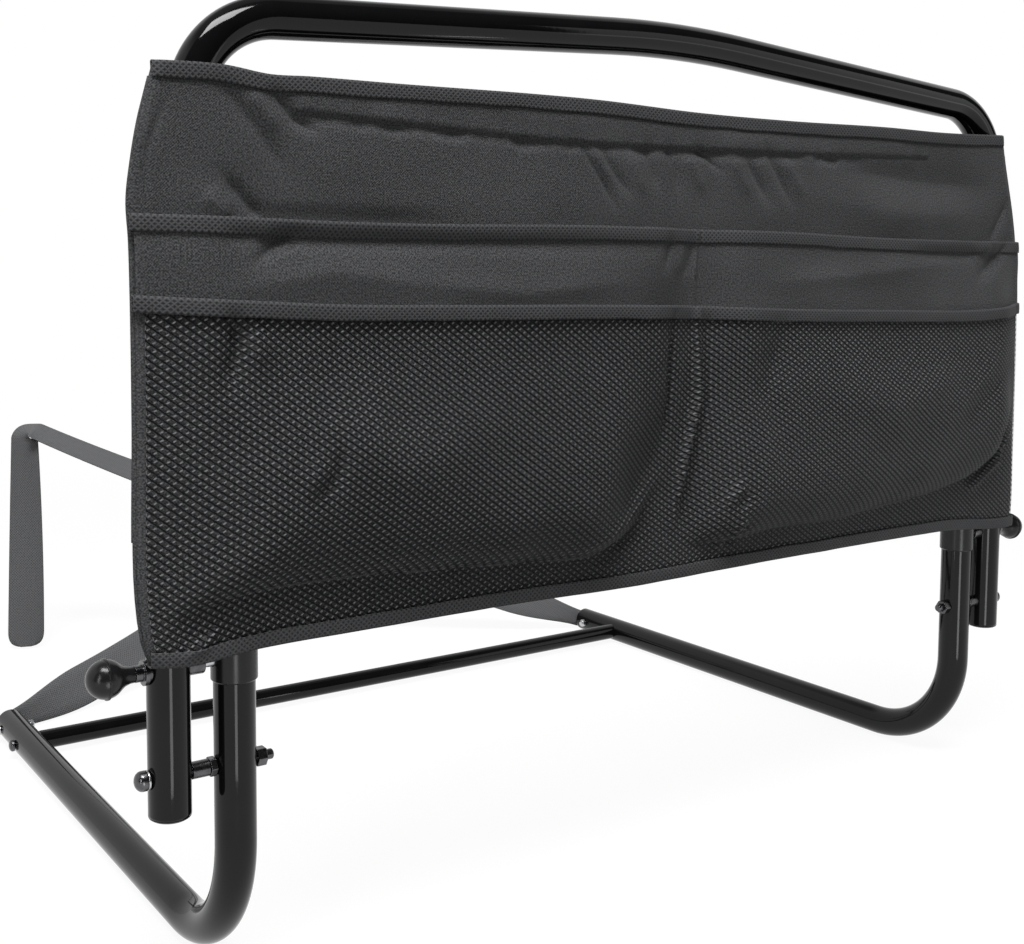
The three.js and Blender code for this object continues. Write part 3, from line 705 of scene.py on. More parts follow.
class TubeBender:
    """Grows a tube along straight runs and round bends, as a tube is bent."""

    def __init__(self, piece: Piece, radius: float, sides: int = 48) -> None:
        """Readies a bender.

        Args:
            piece: The piece to grow.
            radius: The tube's outer radius in millimetres.
            sides: Facets round the tube.
        """
        self.piece = piece
        self.radius = radius
        self.sides = sides
        self.long_run = 6

    def follow(self, start: Vector, bends: Sequence[Bend], end: Vector) -> None:
        """Grows the whole tube.

        Args:
            start: Middle of its first end.
            bends: Its bends in order.
            end: Middle of its last end.
        """
        mesh = self.piece.mesh
        stops = [start, *(bend.corner for bend in bends), end]
        heading = (stops[1] - stops[0]).normalized()
        facing = heading.to_track_quat("Z", "X").to_matrix().to_4x4()
        ring = bmesh.ops.create_circle(
            mesh, segments=self.sides, radius=self.radius, matrix=Matrix.Translation(start) @ facing,
        )
        edges = list({edge for vert in ring["verts"] for edge in vert.link_edges})
        place = start
        for index, bend in enumerate(bends):
            after = (stops[index + 2] - bend.corner).normalized()
            angle = heading.angle(after)
            reach = bend.radius * math.tan(angle / 2)
            entry = bend.corner - heading * reach
            edges = self.run(edges, entry - place)
            inward = (after - heading * after.dot(heading)).normalized()
            turned = bmesh.ops.spin(
                mesh, geom=edges, cent=entry + inward * bend.radius, axis=heading.cross(inward),
                dvec=(0, 0, 0), angle=angle, steps=bend.steps, use_duplicate=False,
            )
            edges = [item for item in turned["geom_last"] if isinstance(item, bmesh.types.BMEdge)]
            heading = after
            place = bend.corner + after * reach
        self.run(edges, end - place)
        self.piece.tidy()

    def run(self, edges: list[bmesh.types.BMEdge], step: Vector) -> list[bmesh.types.BMEdge]:
        """Extends the open end straight on, with a ring close to each end that keeps the shading even.

        Args:
            edges: The ring of edges at the open end.
            step: How far and which way.

        Returns:
            The new open end's edges.
        """
        if step.length > self.long_run:
            margin = step.normalized()
            for part in (margin, step - 2 * margin, margin):
                edges = self.extend(edges, part)
            return edges
        return self.extend(edges, step)

    def extend(self, edges: list[bmesh.types.BMEdge], step: Vector) -> list[bmesh.types.BMEdge]:
        """Extends the open end by one ring.

        Args:
            edges: The ring of edges at the open end.
            step: How far and which way.

        Returns:
            The new open end's edges.
        """
        grown = bmesh.ops.extrude_edge_only(self.piece.mesh, edges=edges)["geom"]
        verts = [item for item in grown if isinstance(item, bmesh.types.BMVert)]
        bmesh.ops.translate(self.piece.mesh, vec=step, verts=verts)
        fresh = set(verts)
        return [
            item for item in grown
            if isinstance(item, bmesh.types.BMEdge) and all(vert in fresh for vert in item.verts)
        ]


# The rail's own parts


@dataclass(frozen=True)
class RailSizes:
    """Sizes and places that several parts of the rail follow, in millimetres."""

    tube_radius: float = 12
    tube_wall: float = 1.6
    post_x: float = 369
    upright_x: float = 330
    leg_end: float = 490
    lock_height: float = 193
    pin_radius: float = 2.8
    crossbar_depth: float = 431
    gap: float = 0.3
    plug_length: float = 12
    plug_fit: float = 0.2
    plug_taper: float = 0.3
    plug_rounding: float = 0.25

    @property
    def leg_height(self) -> float:
        """Height of the legs' middles, which lie on the flats of a tube of 16 sides."""
        return self.tube_radius * math.cos(math.pi / 16)

    @property
    def bore(self) -> float:
        """Radius of what plugs a tube's end."""
        return self.tube_radius - self.tube_wall - self.plug_fit


@dataclass
class HandleTube:
    """The bent tube of the handle, with its caps."""

    sizes: RailSizes
    finishes: Finishes
    post_end: float = 111.5
    lean_start: float = 330
    lean_radius: float = 300
    lean_steps: int = 6
    shoulder_inset: float = 19.6
    shoulder_height: float = 547.6
    shoulder_radius: float = 55
    shoulder_steps: int = 24
    crown_height: float = 570.3
    crown_radius: float = 900
    crown_steps: int = 8
    cap_dome: float = 2
    cap_dome_shares: tuple[float, ...] = (1, 0.72, 0.35, 0)
    cap_insets: tuple[float, ...] = (3.4, 1.5, 0.4, 0)

    def post_centre(self, height: float) -> float:
        """Half the distance between the posts' middles.

        Args:
            height: Where it is measured.

        Returns:
            The distance.
        """
        post = self.sizes.post_x
        rise = self.shoulder_height - self.lean_start
        lean = math.atan2(self.shoulder_inset, rise)
        reach = self.lean_radius * math.tan(lean / 2)
        if height <= self.lean_start - reach:
            return post
        if height < self.lean_start + reach * math.cos(lean):
            climbed = height - (self.lean_start - reach)
            return post - self.lean_radius * (1 - math.sqrt(1 - (climbed / self.lean_radius) ** 2))
        return post - math.tan(lean) * (height - self.lean_start)

    def build(self) -> None:
        """Builds the tube and its lower caps."""
        post = self.sizes.post_x
        shoulder = post - self.shoulder_inset
        bends = [
            Bend(Vector((-post, 0, self.lean_start)), self.lean_radius, self.lean_steps),
            Bend(Vector((-shoulder, 0, self.shoulder_height)), self.shoulder_radius, self.shoulder_steps),
            Bend(Vector((0, 0, self.crown_height)), self.crown_radius, self.crown_steps),
            Bend(Vector((shoulder, 0, self.shoulder_height)), self.shoulder_radius, self.shoulder_steps),
            Bend(Vector((post, 0, self.lean_start)), self.lean_radius, self.lean_steps),
        ]
        tube = Piece("handle_tube")
        bender = TubeBender(tube, self.sizes.tube_radius)
        bender.follow(Vector((-post, 0, self.post_end)), bends, Vector((post, 0, self.post_end)))
        shown = tube.finish("handle", Slot.PAINT, self.finishes)
        walled(shown, self.sizes.tube_wall)
        for side in Side:
            self.build_cap(side)

    def build_cap(self, side: Side) -> None:
        """Builds the rounded plug in a post's lower end.

        Args:
            side: The post's side.
        """
        sizes = self.sizes
        dome = [
            (-self.cap_dome * share, sizes.tube_radius - inset)
            for share, inset in zip(self.cap_dome_shares, self.cap_insets)
        ]
        cap = Piece(f"post_cap_{side.label}")
        cap.turn([
            (-self.cap_dome, 0), *dome, (0, sizes.bore),
            (sizes.plug_length, sizes.bore - sizes.plug_taper), (sizes.plug_length, 0),
        ])
        cap.lay(stood_up(side.value * sizes.post_x, self.post_end - sizes.gap))
        shown = cap.finish("handle", Slot.PLASTIC, self.finishes)
        bevelled(shown, sizes.plug_rounding)


@dataclass
class BaseFrame:
    """The two L-shaped base tubes, the crossbar, and what sits on them."""

    sizes: RailSizes
    finishes: Finishes
    upright_top: float = 245
    bend_radius: float = 76
    bend_steps: int = 28
    flange_profile: tuple[tuple[float, float], ...] = ((0, 0), (0.9, 0), (1.8, 0.7), (2.5, 2.2))
    sleeve_radius: float = 13.3
    sleeve_bottom: float = 181
    sleeve_length: float = 28
    sleeve_fit: float = 0.2
    sleeve_chamfer: float = 0.8
    hole_fit: float = 0.3
    hole_reach: float = 3
    hole_depth: float = 6
    hole_steps: int = 24
    crossbar_radius: float = 8
    crossbar_half: float = 324
    cope_fit: float = 0.1
    cope_half: float = 30
    edge_rounding: float = 0.3

    def build(self) -> None:
        """Builds both sides and the crossbar."""
        for side in Side:
            self.build_tube(side)
            self.build_cap(side)
            self.build_sleeve(side)
        self.build_crossbar()

    def build_tube(self, side: Side) -> None:
        """Builds one L-shaped tube, open at its rear end.

        Args:
            side: The tube's side.
        """
        sizes = self.sizes
        x = side.value * sizes.upright_x
        top = Vector((x, 0, self.upright_top))
        bend = Bend(Vector((x, 0, sizes.leg_height)), self.bend_radius, self.bend_steps)
        tube = Piece(f"base_tube_{side.label}")
        TubeBender(tube, sizes.tube_radius).follow(top, [bend], Vector((x, sizes.leg_end, sizes.leg_height)))
        shown = tube.finish("base", Slot.PAINT, self.finishes)
        walled(shown, sizes.tube_wall)

    def build_cap(self, side: Side) -> None:
        """Builds the flanged cap on an upright's top end.

        Args:
            side: The upright's side.
        """
        sizes = self.sizes
        flange = [(rise, sizes.tube_radius - inset) for rise, inset in self.flange_profile]
        cap = Piece(f"upright_cap_{side.label}")
        cap.turn([
            (-sizes.plug_length, 0), (-sizes.plug_length, sizes.bore - sizes.plug_taper), (0, sizes.bore),
            *flange, (flange[-1][0], 0),
        ])
        cap.lay(stood_up(side.value * sizes.upright_x, self.upright_top + sizes.gap))
        shown = cap.finish("base", Slot.PLASTIC, self.finishes)
        bevelled(shown, sizes.plug_rounding)

    def build_sleeve(self, side: Side) -> None:
        """Builds the sleeve round an upright, with the hole for the lock pin.

        Args:
            side: The upright's side.
        """
        sizes = self.sizes
        inner = sizes.tube_radius + self.sleeve_fit
        outer = self.sleeve_radius
        length = self.sleeve_length
        chamfer = self.sleeve_chamfer
        sleeve = Piece(f"sleeve_{side.label}")
        sleeve.turn([
            (0, inner), (0, outer - chamfer), (chamfer, outer), (length - chamfer, outer),
            (length, outer - chamfer), (length, inner),
        ], FINE_STEPS, closed=True)
        sleeve.lay(stood_up(side.value * sizes.upright_x, self.sleeve_bottom))
        shown = sleeve.finish("base", Slot.PLASTIC, self.finishes)
        start = sizes.upright_x + self.hole_depth
        stop = sizes.upright_x + outer + self.hole_reach
        radius = sizes.pin_radius + self.hole_fit
        hole = Piece("pin_hole")
        hole.turn([(start, 0), (start, radius), (stop, radius), (stop, 0)], self.hole_steps)
        hole.lay(on_side(side, 0, sizes.lock_height))
        carve(shown, hole)
        bevelled(shown, self.edge_rounding)

    def build_crossbar(self) -> None:
        """Builds the crossbar, coped to the round of both legs."""
        sizes = self.sizes
        half = self.crossbar_half
        bar = Piece("crossbar")
        bar.turn([(-half, 0), (-half, self.crossbar_radius), (half, self.crossbar_radius), (half, 0)])
        bar.lay(Matrix.Translation((0, sizes.crossbar_depth, sizes.leg_height)))
        shown = bar.finish("base", Slot.PAINT, self.finishes)
        half = self.cope_half
        radius = sizes.tube_radius + self.cope_fit
        for side in Side:
            leg = (side.value * sizes.upright_x, sizes.crossbar_depth, sizes.leg_height)
            cope = Piece("cope")
            cope.turn([(-half, 0), (-half, radius), (half, radius), (half, 0)], FINE_STEPS)
            cope.lay(Matrix.Translation(leg) @ Matrix.Rotation(math.pi / 2, 4, "Z"))
            carve(shown, cope)
        bevelled(shown, self.edge_rounding)


def carve(piece: bpy.types.Object, cutter: Piece) -> None:
    """Cuts a cutter out of a piece and drops the cutter.

    Args:
        piece: The piece to cut.
        cutter: The cutter, in millimetres.
    """
    tool = shown_object(cutter.name, in_frame(cutter.mesh, cutter.name))
    cut = piece.modifiers.new("cut", "BOOLEAN")
    cut.operation = "DIFFERENCE"
    cut.object = tool
    with bpy.context.temp_override(object=piece, active_object=piece, selected_objects=[piece]):
        bpy.ops.object.modifier_apply(modifier=cut.name)
    bpy.data.objects.remove(tool)


@dataclass
class Hardware:
    """Pivots, spring locks, bolts and screws on one side of the rail."""

    sizes: RailSizes
    finishes: Finishes
    side: Side
    edge_rounding: float = 0.25
    dome_steps: int = 7
    pivot_height: float = 133
    bolt_radius: float = 3
    bolt_bore: float = 3.3
    bolt_tip: float = 0.8
    bolt_past_nut: float = 11
    bolt_seat: float = 1.5
    bolt_head_radius: float = 5.6
    bolt_head_flat: float = 2.1
    bolt_dome: float = 4.3
    bolt_dome_steps: int = 8
    washer_thickness: float = 1.2
    spacer_radius: float = 4.8
    spacer_start: float = 4.3
    nut_half: float = 5
    nut_thickness: float = 6
    jam_nut_thickness: float = 4
    nut_rounding: float = 0.5
    housing_bore: float = 3.1
    housing_start: float = 8
    housing_radius: float = 5.6
    housing_chamfer: float = 0.4
    collar_radius: float = 7
    collar_length: float = 2.5
    nose_radius: float = 4.6
    nose_length: float = 7
    knob_gap: float = 7.3
    knob_bore_depth: float = 12
    knob_foot: tuple[tuple[float, float], ...] = ((0, 4.4), (2.5, 4.6), (5.5, 5.6))
    ball_radius: float = 10.6
    ball_start: float = 8
    ball_steps: int = 21
    ball_ridge_half: float = 0.7
    ball_ridge_margin: float = 0.75
    pin_start: float = 9
    pin_nose: tuple[tuple[float, float], ...] = ((0, 1.4), (0.6, 2.2))
    pin_nose_length: float = 1.4
    pin_end_margin: float = 0.3
    bar_bolt_radius: float = 3
    bar_bolt_reach: float = 12
    bar_head_radius: float = 5
    bar_head_flat: float = 1.4
    bar_dome: float = 2.6
    screw_depth: float = 476
    screw_radius: float = 2
    screw_past_leg: float = 3.2
    screw_head_radius: float = 4.4
    screw_head_flat: float = 0.8
    screw_dome: float = 1.8
    cap_nut_length: float = 1.9
    cap_nut_nose: tuple[tuple[float, float], ...] = ((0, 1.8), (0.5, 3.0))
    cap_nut_shoulder: float = 1.6
    cap_nut_radius: float = 4
    cap_nut_bore: float = 2.3

    @property
    def outer_face(self) -> float:
        """X just outside the post."""
        return self.sizes.post_x + self.sizes.tube_radius + self.sizes.gap

    @property
    def leg_face(self) -> float:
        """X just outside the upright and leg."""
        return self.sizes.upright_x + self.sizes.tube_radius + self.sizes.gap

    def add(
        self, name: str, profile: Sequence[tuple[float, float]], place: tuple[float, float], body: str,
        slot: Slot, closed: bool = False, steps: int = 36,
    ) -> None:
        """Turns one piece whose axis lies along X and sets it at a depth and height.

        Args:
            name: The node that it stands for, without its side.
            profile: Pairs of X and radius, for the right side.
            place: Y and Z of its axis.
            body: The body that it moves with.
            slot: The record's material slot.
            closed: Whether the profile is a ring.
            steps: Facets round the axis.
        """
        piece = Piece(f"{name}_{self.side.label}")
        piece.turn(profile, steps, closed)
        piece.lay(on_side(self.side, *place))
        shown = piece.finish(body, slot, self.finishes)
        bevelled(shown, self.edge_rounding)

    def build(self) -> None:
        """Builds every piece of this side."""
        self.build_pivot()
        self.build_lock()
        self.build_leg_fixings()

    def build_pivot(self) -> None:
        """Builds the pivot bolt with its washer, spacer and nuts."""
        sizes = self.sizes
        place = (0.0, self.pivot_height)
        outer = self.outer_face
        head = outer + self.bolt_seat
        inner_nut = sizes.upright_x - sizes.tube_radius - sizes.gap
        tip = inner_nut - self.bolt_past_nut
        self.add("pivot_bolt", [
            (tip, 0), (tip, self.bolt_radius - self.bolt_tip), (tip + self.bolt_tip, self.bolt_radius),
            (head, self.bolt_radius), (head, self.bolt_head_radius),
            *quarter_dome(
                head + self.bolt_head_flat, self.bolt_dome, self.bolt_head_radius, self.bolt_dome_steps,
            ),
        ], place, "base", Slot.BLACK_STEEL)
        washer_face = outer + self.washer_thickness
        self.add("pivot_washer", [
            (outer, self.bolt_bore), (outer, self.bolt_head_radius),
            (washer_face, self.bolt_head_radius), (washer_face, self.bolt_bore),
        ], place, "base", Slot.STEEL, closed=True)
        start = self.leg_face + self.spacer_start
        stop = sizes.post_x - sizes.tube_radius - sizes.gap
        self.add("pivot_spacer", [
            (start, self.bolt_bore), (start, self.spacer_radius),
            (stop, self.spacer_radius), (stop, self.bolt_bore),
        ], place, "base", Slot.BLACK_STEEL, closed=True)
        self.build_nut("pivot_jam_nut", self.leg_face, self.leg_face + self.jam_nut_thickness)
        self.build_nut("pivot_nut", inner_nut - self.nut_thickness, inner_nut)

    def build_nut(self, name: str, start: float, stop: float) -> None:
        """Builds a hexagon nut on the pivot bolt.

        Args:
            name: The node that it stands for, without its side.
            start: X of its inner face, for the right side.
            stop: X of its outer face.
        """
        corner = self.nut_half / math.cos(math.pi / 6)
        bore = self.bolt_bore
        nut = Piece(f"{name}_{self.side.label}")
        nut.turn([(start, bore), (start, corner), (stop, corner), (stop, bore)], 6, closed=True)
        nut.lay(on_side(self.side, 0, self.pivot_height))
        shown = nut.finish("base", Slot.BLACK_STEEL, self.finishes, shade_smooth=False)
        bevelled(shown, self.nut_rounding, 3)

    def ball_profile(self, start: float) -> list[tuple[float, float]]:
        """The knob's ball, from its neck to the axis, with the ridge round its middle.

        Args:
            start: X where the ball leaves the neck.

        Returns:
            Pairs of X and radius.
        """
        radius = self.ball_radius
        middle = start + radius * math.cos(math.pi / 4)
        ball = []
        for step in range(self.ball_steps + 1):
            angle = math.pi / 4 + (3 * math.pi / 4) * step / self.ball_steps
            ball.append((middle - radius * math.cos(angle), radius * math.sin(angle)))
        before = [point for point in ball if point[0] < middle - self.ball_ridge_margin]
        behind = [point for point in ball if point[0] > middle + self.ball_ridge_margin]
        half = self.ball_ridge_half
        ridge = [
            (middle - half, radius), (middle - half, radius + half),
            (middle + half, radius + half), (middle + half, radius),
        ]
        return [*before, *ridge, *behind[:-1], (middle + radius, 0)]

    def build_lock(self) -> None:
        """Builds the plunger housing, the ball knob and the pin."""
        sizes = self.sizes
        place = (0.0, sizes.lock_height)
        outer = self.outer_face
        barrel = sizes.post_x - sizes.tube_radius - self.housing_start
        collar = outer + self.collar_length
        nose = outer + self.nose_length
        self.add("plunger", [
            (barrel, self.housing_bore), (barrel, self.housing_radius - self.housing_chamfer),
            (barrel + self.housing_chamfer, self.housing_radius), (outer, self.housing_radius),
            (outer, self.collar_radius), (collar, self.collar_radius), (collar, self.nose_radius),
            (nose, self.nose_radius), (nose, self.housing_bore),
        ], place, "handle", Slot.BLACK_STEEL, closed=True)
        body = f"lock_{self.side.label}"
        neck = outer + self.knob_gap
        bore_end = neck + self.knob_bore_depth
        foot = [(neck + along, radius) for along, radius in self.knob_foot]
        self.add("knob", [
            (bore_end, 0), (bore_end, self.housing_bore), (neck, self.housing_bore), *foot,
            *self.ball_profile(neck + self.ball_start),
        ], place, body, Slot.PLASTIC, steps=FINE_STEPS)
        tip = sizes.upright_x + self.pin_start
        pin_end = bore_end - self.pin_end_margin
        nose_points = [(tip + along, radius) for along, radius in self.pin_nose]
        self.add("lock_pin", [
            (tip, 0), *nose_points, (tip + self.pin_nose_length, sizes.pin_radius),
            (pin_end, sizes.pin_radius), (pin_end, 0),
        ], place, body, Slot.STEEL)

    def build_leg_fixings(self) -> None:
        """Builds the crossbar's bolt and the strap's screw and cap nut."""
        sizes = self.sizes
        outer = self.leg_face
        inner = sizes.upright_x - sizes.tube_radius
        start = inner - self.bar_bolt_reach
        self.add("crossbar_bolt", [
            (start, 0), (start, self.bar_bolt_radius), (outer, self.bar_bolt_radius),
            (outer, self.bar_head_radius),
            *quarter_dome(outer + self.bar_head_flat, self.bar_dome, self.bar_head_radius, self.dome_steps),
        ], (sizes.crossbar_depth, sizes.leg_height), "base", Slot.BLACK_STEEL)
        at_strap = (self.screw_depth, sizes.leg_height)
        tip = inner - sizes.gap - self.screw_past_leg
        self.add("strap_screw", [
            (tip, 0), (tip, self.screw_radius), (outer, self.screw_radius), (outer, self.screw_head_radius),
            *quarter_dome(
                outer + self.screw_head_flat, self.screw_dome, self.screw_head_radius, self.dome_steps,
            ),
        ], at_strap, "base", Slot.STEEL)
        far = tip - self.cap_nut_length
        seat = inner - sizes.gap
        nose = [(far + along, radius) for along, radius in self.cap_nut_nose]
        self.add("strap_nut", [
            (far, 0), *nose, (far + self.cap_nut_shoulder, self.cap_nut_radius), (seat, self.cap_nut_radius),
            (seat, self.cap_nut_bore), (tip - sizes.gap, self.cap_nut_bore), (tip - sizes.gap, 0),
        ], at_strap, "base", Slot.STEEL)


@dataclass(frozen=True)
class Station:
    """A place on a strap's route."""

    point: Vector
    heading: Vector
    breadth: Vector
    width: float


@dataclass
class Strap:
    """One webbing strap: pinched in a leg's end, twisting as it rises, then hanging over its far corner."""

    sizes: RailSizes
    finishes: Finishes
    side: Side
    lead_rise: float
    arrival_drop: float
    width: float = 38
    thickness: float = 1.8
    pinch: float = 18.6
    start_depth: float = 464
    corner: tuple[float, float, float] = (-224, 768, 240)
    turn_radius: float = 6
    turn_steps: int = 8
    lead_out: float = 110
    arrival: float = 200
    rise_steps: int = 90
    fold_radius: float = 9
    fold_steps: int = 18
    tail_end: float = 2.2
    tail_shift: float = 14
    tail_steps: int = 50
    tip_steps: int = 10
    tip_share: float = 0.08
    tip_width_share: float = 0.3
    flare_share: float = 0.2
    arrival_lean: float = math.pi / 9
    tail_yaw: float = math.pi / 3.1
    tail_twist: float = 0.7
    section_shares: tuple[float, ...] = (-1, -0.96, -0.5, 0, 0.5, 0.96, 1)
    edge_share: float = 0.5
    stations: list[Station] = field(default_factory=list)

    def visit(self, point: Vector, heading: Vector, lean: Vector, width: float) -> None:
        """Adds a station, its width square to its heading and as near as can be to its lean."""
        breadth = (lean - heading * lean.dot(heading)).normalized()
        self.stations.append(Station(point, heading.normalized(), breadth, width))

    def plan(self) -> None:
        """Lays out the strap's route: out of the leg, up to its far corner, over it and down."""
        sizes = self.sizes
        leave = Vector((sizes.upright_x, sizes.leg_end, sizes.leg_height))
        corner = Vector(self.corner)
        level = corner - leave
        level.z = 0
        level.normalize()
        start = self.plan_mouth(leave, level)
        knots = [
            start, start + level * self.lead_out + UP * self.lead_rise,
            corner - level * self.arrival - UP * self.arrival_drop, corner,
        ]
        across = -UP.cross(level)
        self.plan_rise(knots, across)
        heading = (knots[3] - knots[2]).normalized()
        tail_breadth = Matrix.Rotation(self.tail_yaw, 3, "Z") @ across
        edge = self.plan_fold(corner, heading, tail_breadth)
        self.plan_tail(edge, tail_breadth)

    def plan_mouth(self, leave: Vector, level: Vector) -> Vector:
        """Turns the strap out of the leg's mouth.

        Args:
            leave: Where it leaves the leg.
            level: The way it goes on, level.

        Returns:
            Where the turn ends.
        """
        outward = Vector((0, 1, 0))
        whole = outward.angle(level)

        def turned(turn: float) -> Vector:
            """A point on the turn."""
            step = Vector((-(1 - math.cos(turn)), math.sin(turn), 0)) * self.turn_radius
            return leave + step

        self.visit(Vector((leave.x, self.start_depth, leave.z)), outward, UP, self.pinch)
        for step in range(self.turn_steps):
            turn = whole * step / self.turn_steps
            self.visit(turned(turn), Matrix.Rotation(turn, 3, "Z") @ outward, UP, self.pinch)
        return turned(whole)

    def plan_rise(self, knots: Sequence[Vector], across: Vector) -> None:
        """Carries the strap up a smooth curve, untwisting and flaring to its full width.

        Args:
            knots: The curve's two ends, with the points that it leans towards between them.
            across: The level way across it.
        """
        for step in range(self.rise_steps + 1):
            t = step / self.rise_steps
            s = 1 - t
            point = knots[0] * s ** 3 + knots[1] * 3 * s * s * t
            point = point + knots[2] * 3 * s * t * t + knots[3] * t ** 3
            heading = (knots[1] - knots[0]) * s * s
            heading = heading + (knots[2] - knots[1]) * 2 * s * t + (knots[3] - knots[2]) * t * t
            lean = blend(math.pi / 2, self.arrival_lean, math.sqrt(t))
            breadth = across * math.cos(lean) + UP * math.sin(lean)
            width = blend(self.pinch, self.width, smooth(t, 0, self.flare_share))
            self.visit(point, heading.normalized(), breadth, width)

    def plan_fold(self, corner: Vector, heading: Vector, tail_breadth: Vector) -> Vector:
        """Folds the strap over its far corner.

        Args:
            corner: The corner.
            heading: The way it arrives.
            tail_breadth: The way its width lies where it hangs.

        Returns:
            Where the fold ends.
        """
        down = -UP
        inward = (down - heading * down.dot(heading)).normalized()
        whole = heading.angle(down)
        arrival_breadth = self.stations[-1].breadth
        radius = self.fold_radius
        edge = corner
        for step in range(1, self.fold_steps + 1):
            turn = whole * step / self.fold_steps
            edge = corner + heading * radius * math.sin(turn) + inward * radius * (1 - math.cos(turn))
            onward = heading * math.cos(turn) + inward * math.sin(turn)
            self.visit(edge, onward, arrival_breadth.lerp(tail_breadth, step / self.fold_steps), self.width)
        return edge

    def plan_tail(self, edge: Vector, tail_breadth: Vector) -> None:
        """Hangs the strap's tail, with a rounded tip.

        Args:
            edge: Where it starts to hang.
            tail_breadth: The way its width lies there.
        """
        drop = edge.z - self.tail_end
        body_share = 1 - self.tip_share
        for step in range(1, self.tail_steps + self.tip_steps + 1):
            if step <= self.tail_steps:
                t = step / self.tail_steps * body_share
            else:
                turn = math.pi / 2 * (step - self.tail_steps) / self.tip_steps
                t = body_share + self.tip_share * math.sin(turn)
            shift = self.tail_shift * t * t
            breadth = Matrix.Rotation(self.tail_twist * t, 3, "Z") @ tail_breadth
            last = max(0.0, 1 - (1 - t) * drop / (self.width / 2))
            width = self.width * max(self.tip_width_share, (1 - last ** 3) ** (1 / 3))
            self.visit(edge + Vector((-shift / 2, -shift, -drop * t)), -UP, breadth, width)

    def build(self) -> None:
        """Builds the strap by carrying its section from station to station."""
        self.plan()
        piece = Piece(f"strap_{self.side.label}")
        mesh = piece.mesh
        along_layer = mesh.verts.layers.float.new("along")
        across_layer = mesh.verts.layers.float.new("across")
        front = [(share, self.edge_share if abs(share) == 1 else 1) for share in self.section_shares]
        section = front + [(share, -thick) for share, thick in reversed(front)]
        count = len(section)
        verts = [mesh.verts.new((0, 0, 0)) for _ in section]
        edges = [mesh.edges.new((verts[i], verts[(i + 1) % count])) for i in range(count)]
        travelled = 0.0
        last = self.stations[0].point
        for index, station in enumerate(self.stations):
            if index:
                grown = bmesh.ops.extrude_edge_only(mesh, edges=edges)["geom"]
                fresh = [item for item in grown if isinstance(item, bmesh.types.BMVert)]
                follower = {}
                for vert in fresh:
                    for edge in vert.link_edges:
                        other = edge.other_vert(vert)
                        if other in verts:
                            follower[other] = vert
                verts = [follower[vert] for vert in verts]
                edges = [mesh.edges.get((verts[i], verts[(i + 1) % count])) for i in range(count)]
            travelled += (station.point - last).length
            last = station.point
            face = station.heading.cross(station.breadth)
            for vert, (share, thick) in zip(verts, section):
                place = station.point + station.breadth * (share * station.width / 2)
                place = place + face * (thick * self.thickness / 2)
                vert.co = (self.side.value * place.x, place.y, place.z)
                vert[along_layer] = travelled * METRE
                vert[across_layer] = share * self.width / 2 * METRE
        ends = [edge for edge in mesh.edges if edge.is_boundary]
        bmesh.ops.holes_fill(mesh, edges=ends, sides=count)
        uv = mesh.loops.layers.uv.new("weave")
        for face in mesh.faces:
            for loop in face.loops:
                loop[uv].uv = (loop.vert[along_layer], loop.vert[across_layer])
        bmesh.ops.recalc_face_normals(mesh, faces=mesh.faces)
        piece.finish("base", Slot.WEBBING, self.finishes)


# The pouch


Span = tuple[float, float]


def within(x: float, rise: Span, fall: Span) -> float:
    """1 between two soft ends: it comes in over the first span and goes out over the second."""
    return smooth(x, *rise) * smooth(-x, -fall[1], -fall[0])


def kneed(share: float, knee: Span) -> float:
    """Rises evenly from 0 to a knee, and evenly from there to 1.

    Args:
        share: The place, from 0 to 1.
        knee: The knee's place and value.

    Returns:
        The value at the place.
    """
    place, value = knee
    if share < place:
        return blend(0, value, share / place)
    return blend(value, 1, (share - place) / (1 - place))


def ridge(away: float, half: float) -> float:
    """1 on a line and next to nothing at twice the half width away from it."""
    return math.exp(-((away / half) ** 2))


@dataclass(frozen=True)
class Line:
    """A line drawn through a few points, smooth between them."""

    points: tuple[tuple[float, float], ...]

    def at(self, place: float) -> float:
        """Its value at a place, level beyond its ends.

        Args:
            place: The place.

        Returns:
            The value.
        """
        points = self.points
        if place <= points[0][0]:
            return points[0][1]
        if place >= points[-1][0]:
            return points[-1][1]
        index = next(i for i in range(len(points) - 1) if place <= points[i + 1][0])
        (x0, y0), (x1, y1) = points[index], points[index + 1]
        step = x1 - x0
        rise = (y1 - y0) / step
        before = after = rise
        if index:
            before = (rise + (y0 - points[index - 1][1]) / (x0 - points[index - 1][0])) / 2
        if index + 2 < len(points):
            after = (rise + (points[index + 2][1] - y1) / (points[index + 2][0] - x1)) / 2
        t = (place - x0) / step
        s = 1 - t
        return (
            y0 * (1 + 2 * t) * s * s + before * step * t * s * s
            + y1 * (3 - 2 * t) * t * t - after * step * t * t * s
        )


@dataclass(frozen=True)
class Ripple:
    """Soft random waves in cloth: their height, their spans across and up, and their draw."""

    height: float
    across: float
    upward: float
    draw: float

    def at(self, x: float, z: float) -> float:
        """How far the waves stand proud at a point."""
        return self.height * noise.noise(Vector((x / self.across, z / self.upward, self.draw)))


@dataclass(frozen=True)
class Wander:
    """Soft random waves along a line: their height, their span, and their row and draw."""

    height: float
    span: float
    row: float
    draw: float

    def at(self, x: float) -> float:
        """How far the waves stand off at a place across."""
        return self.height * noise.noise(Vector((x / self.span, self.row, self.draw)))


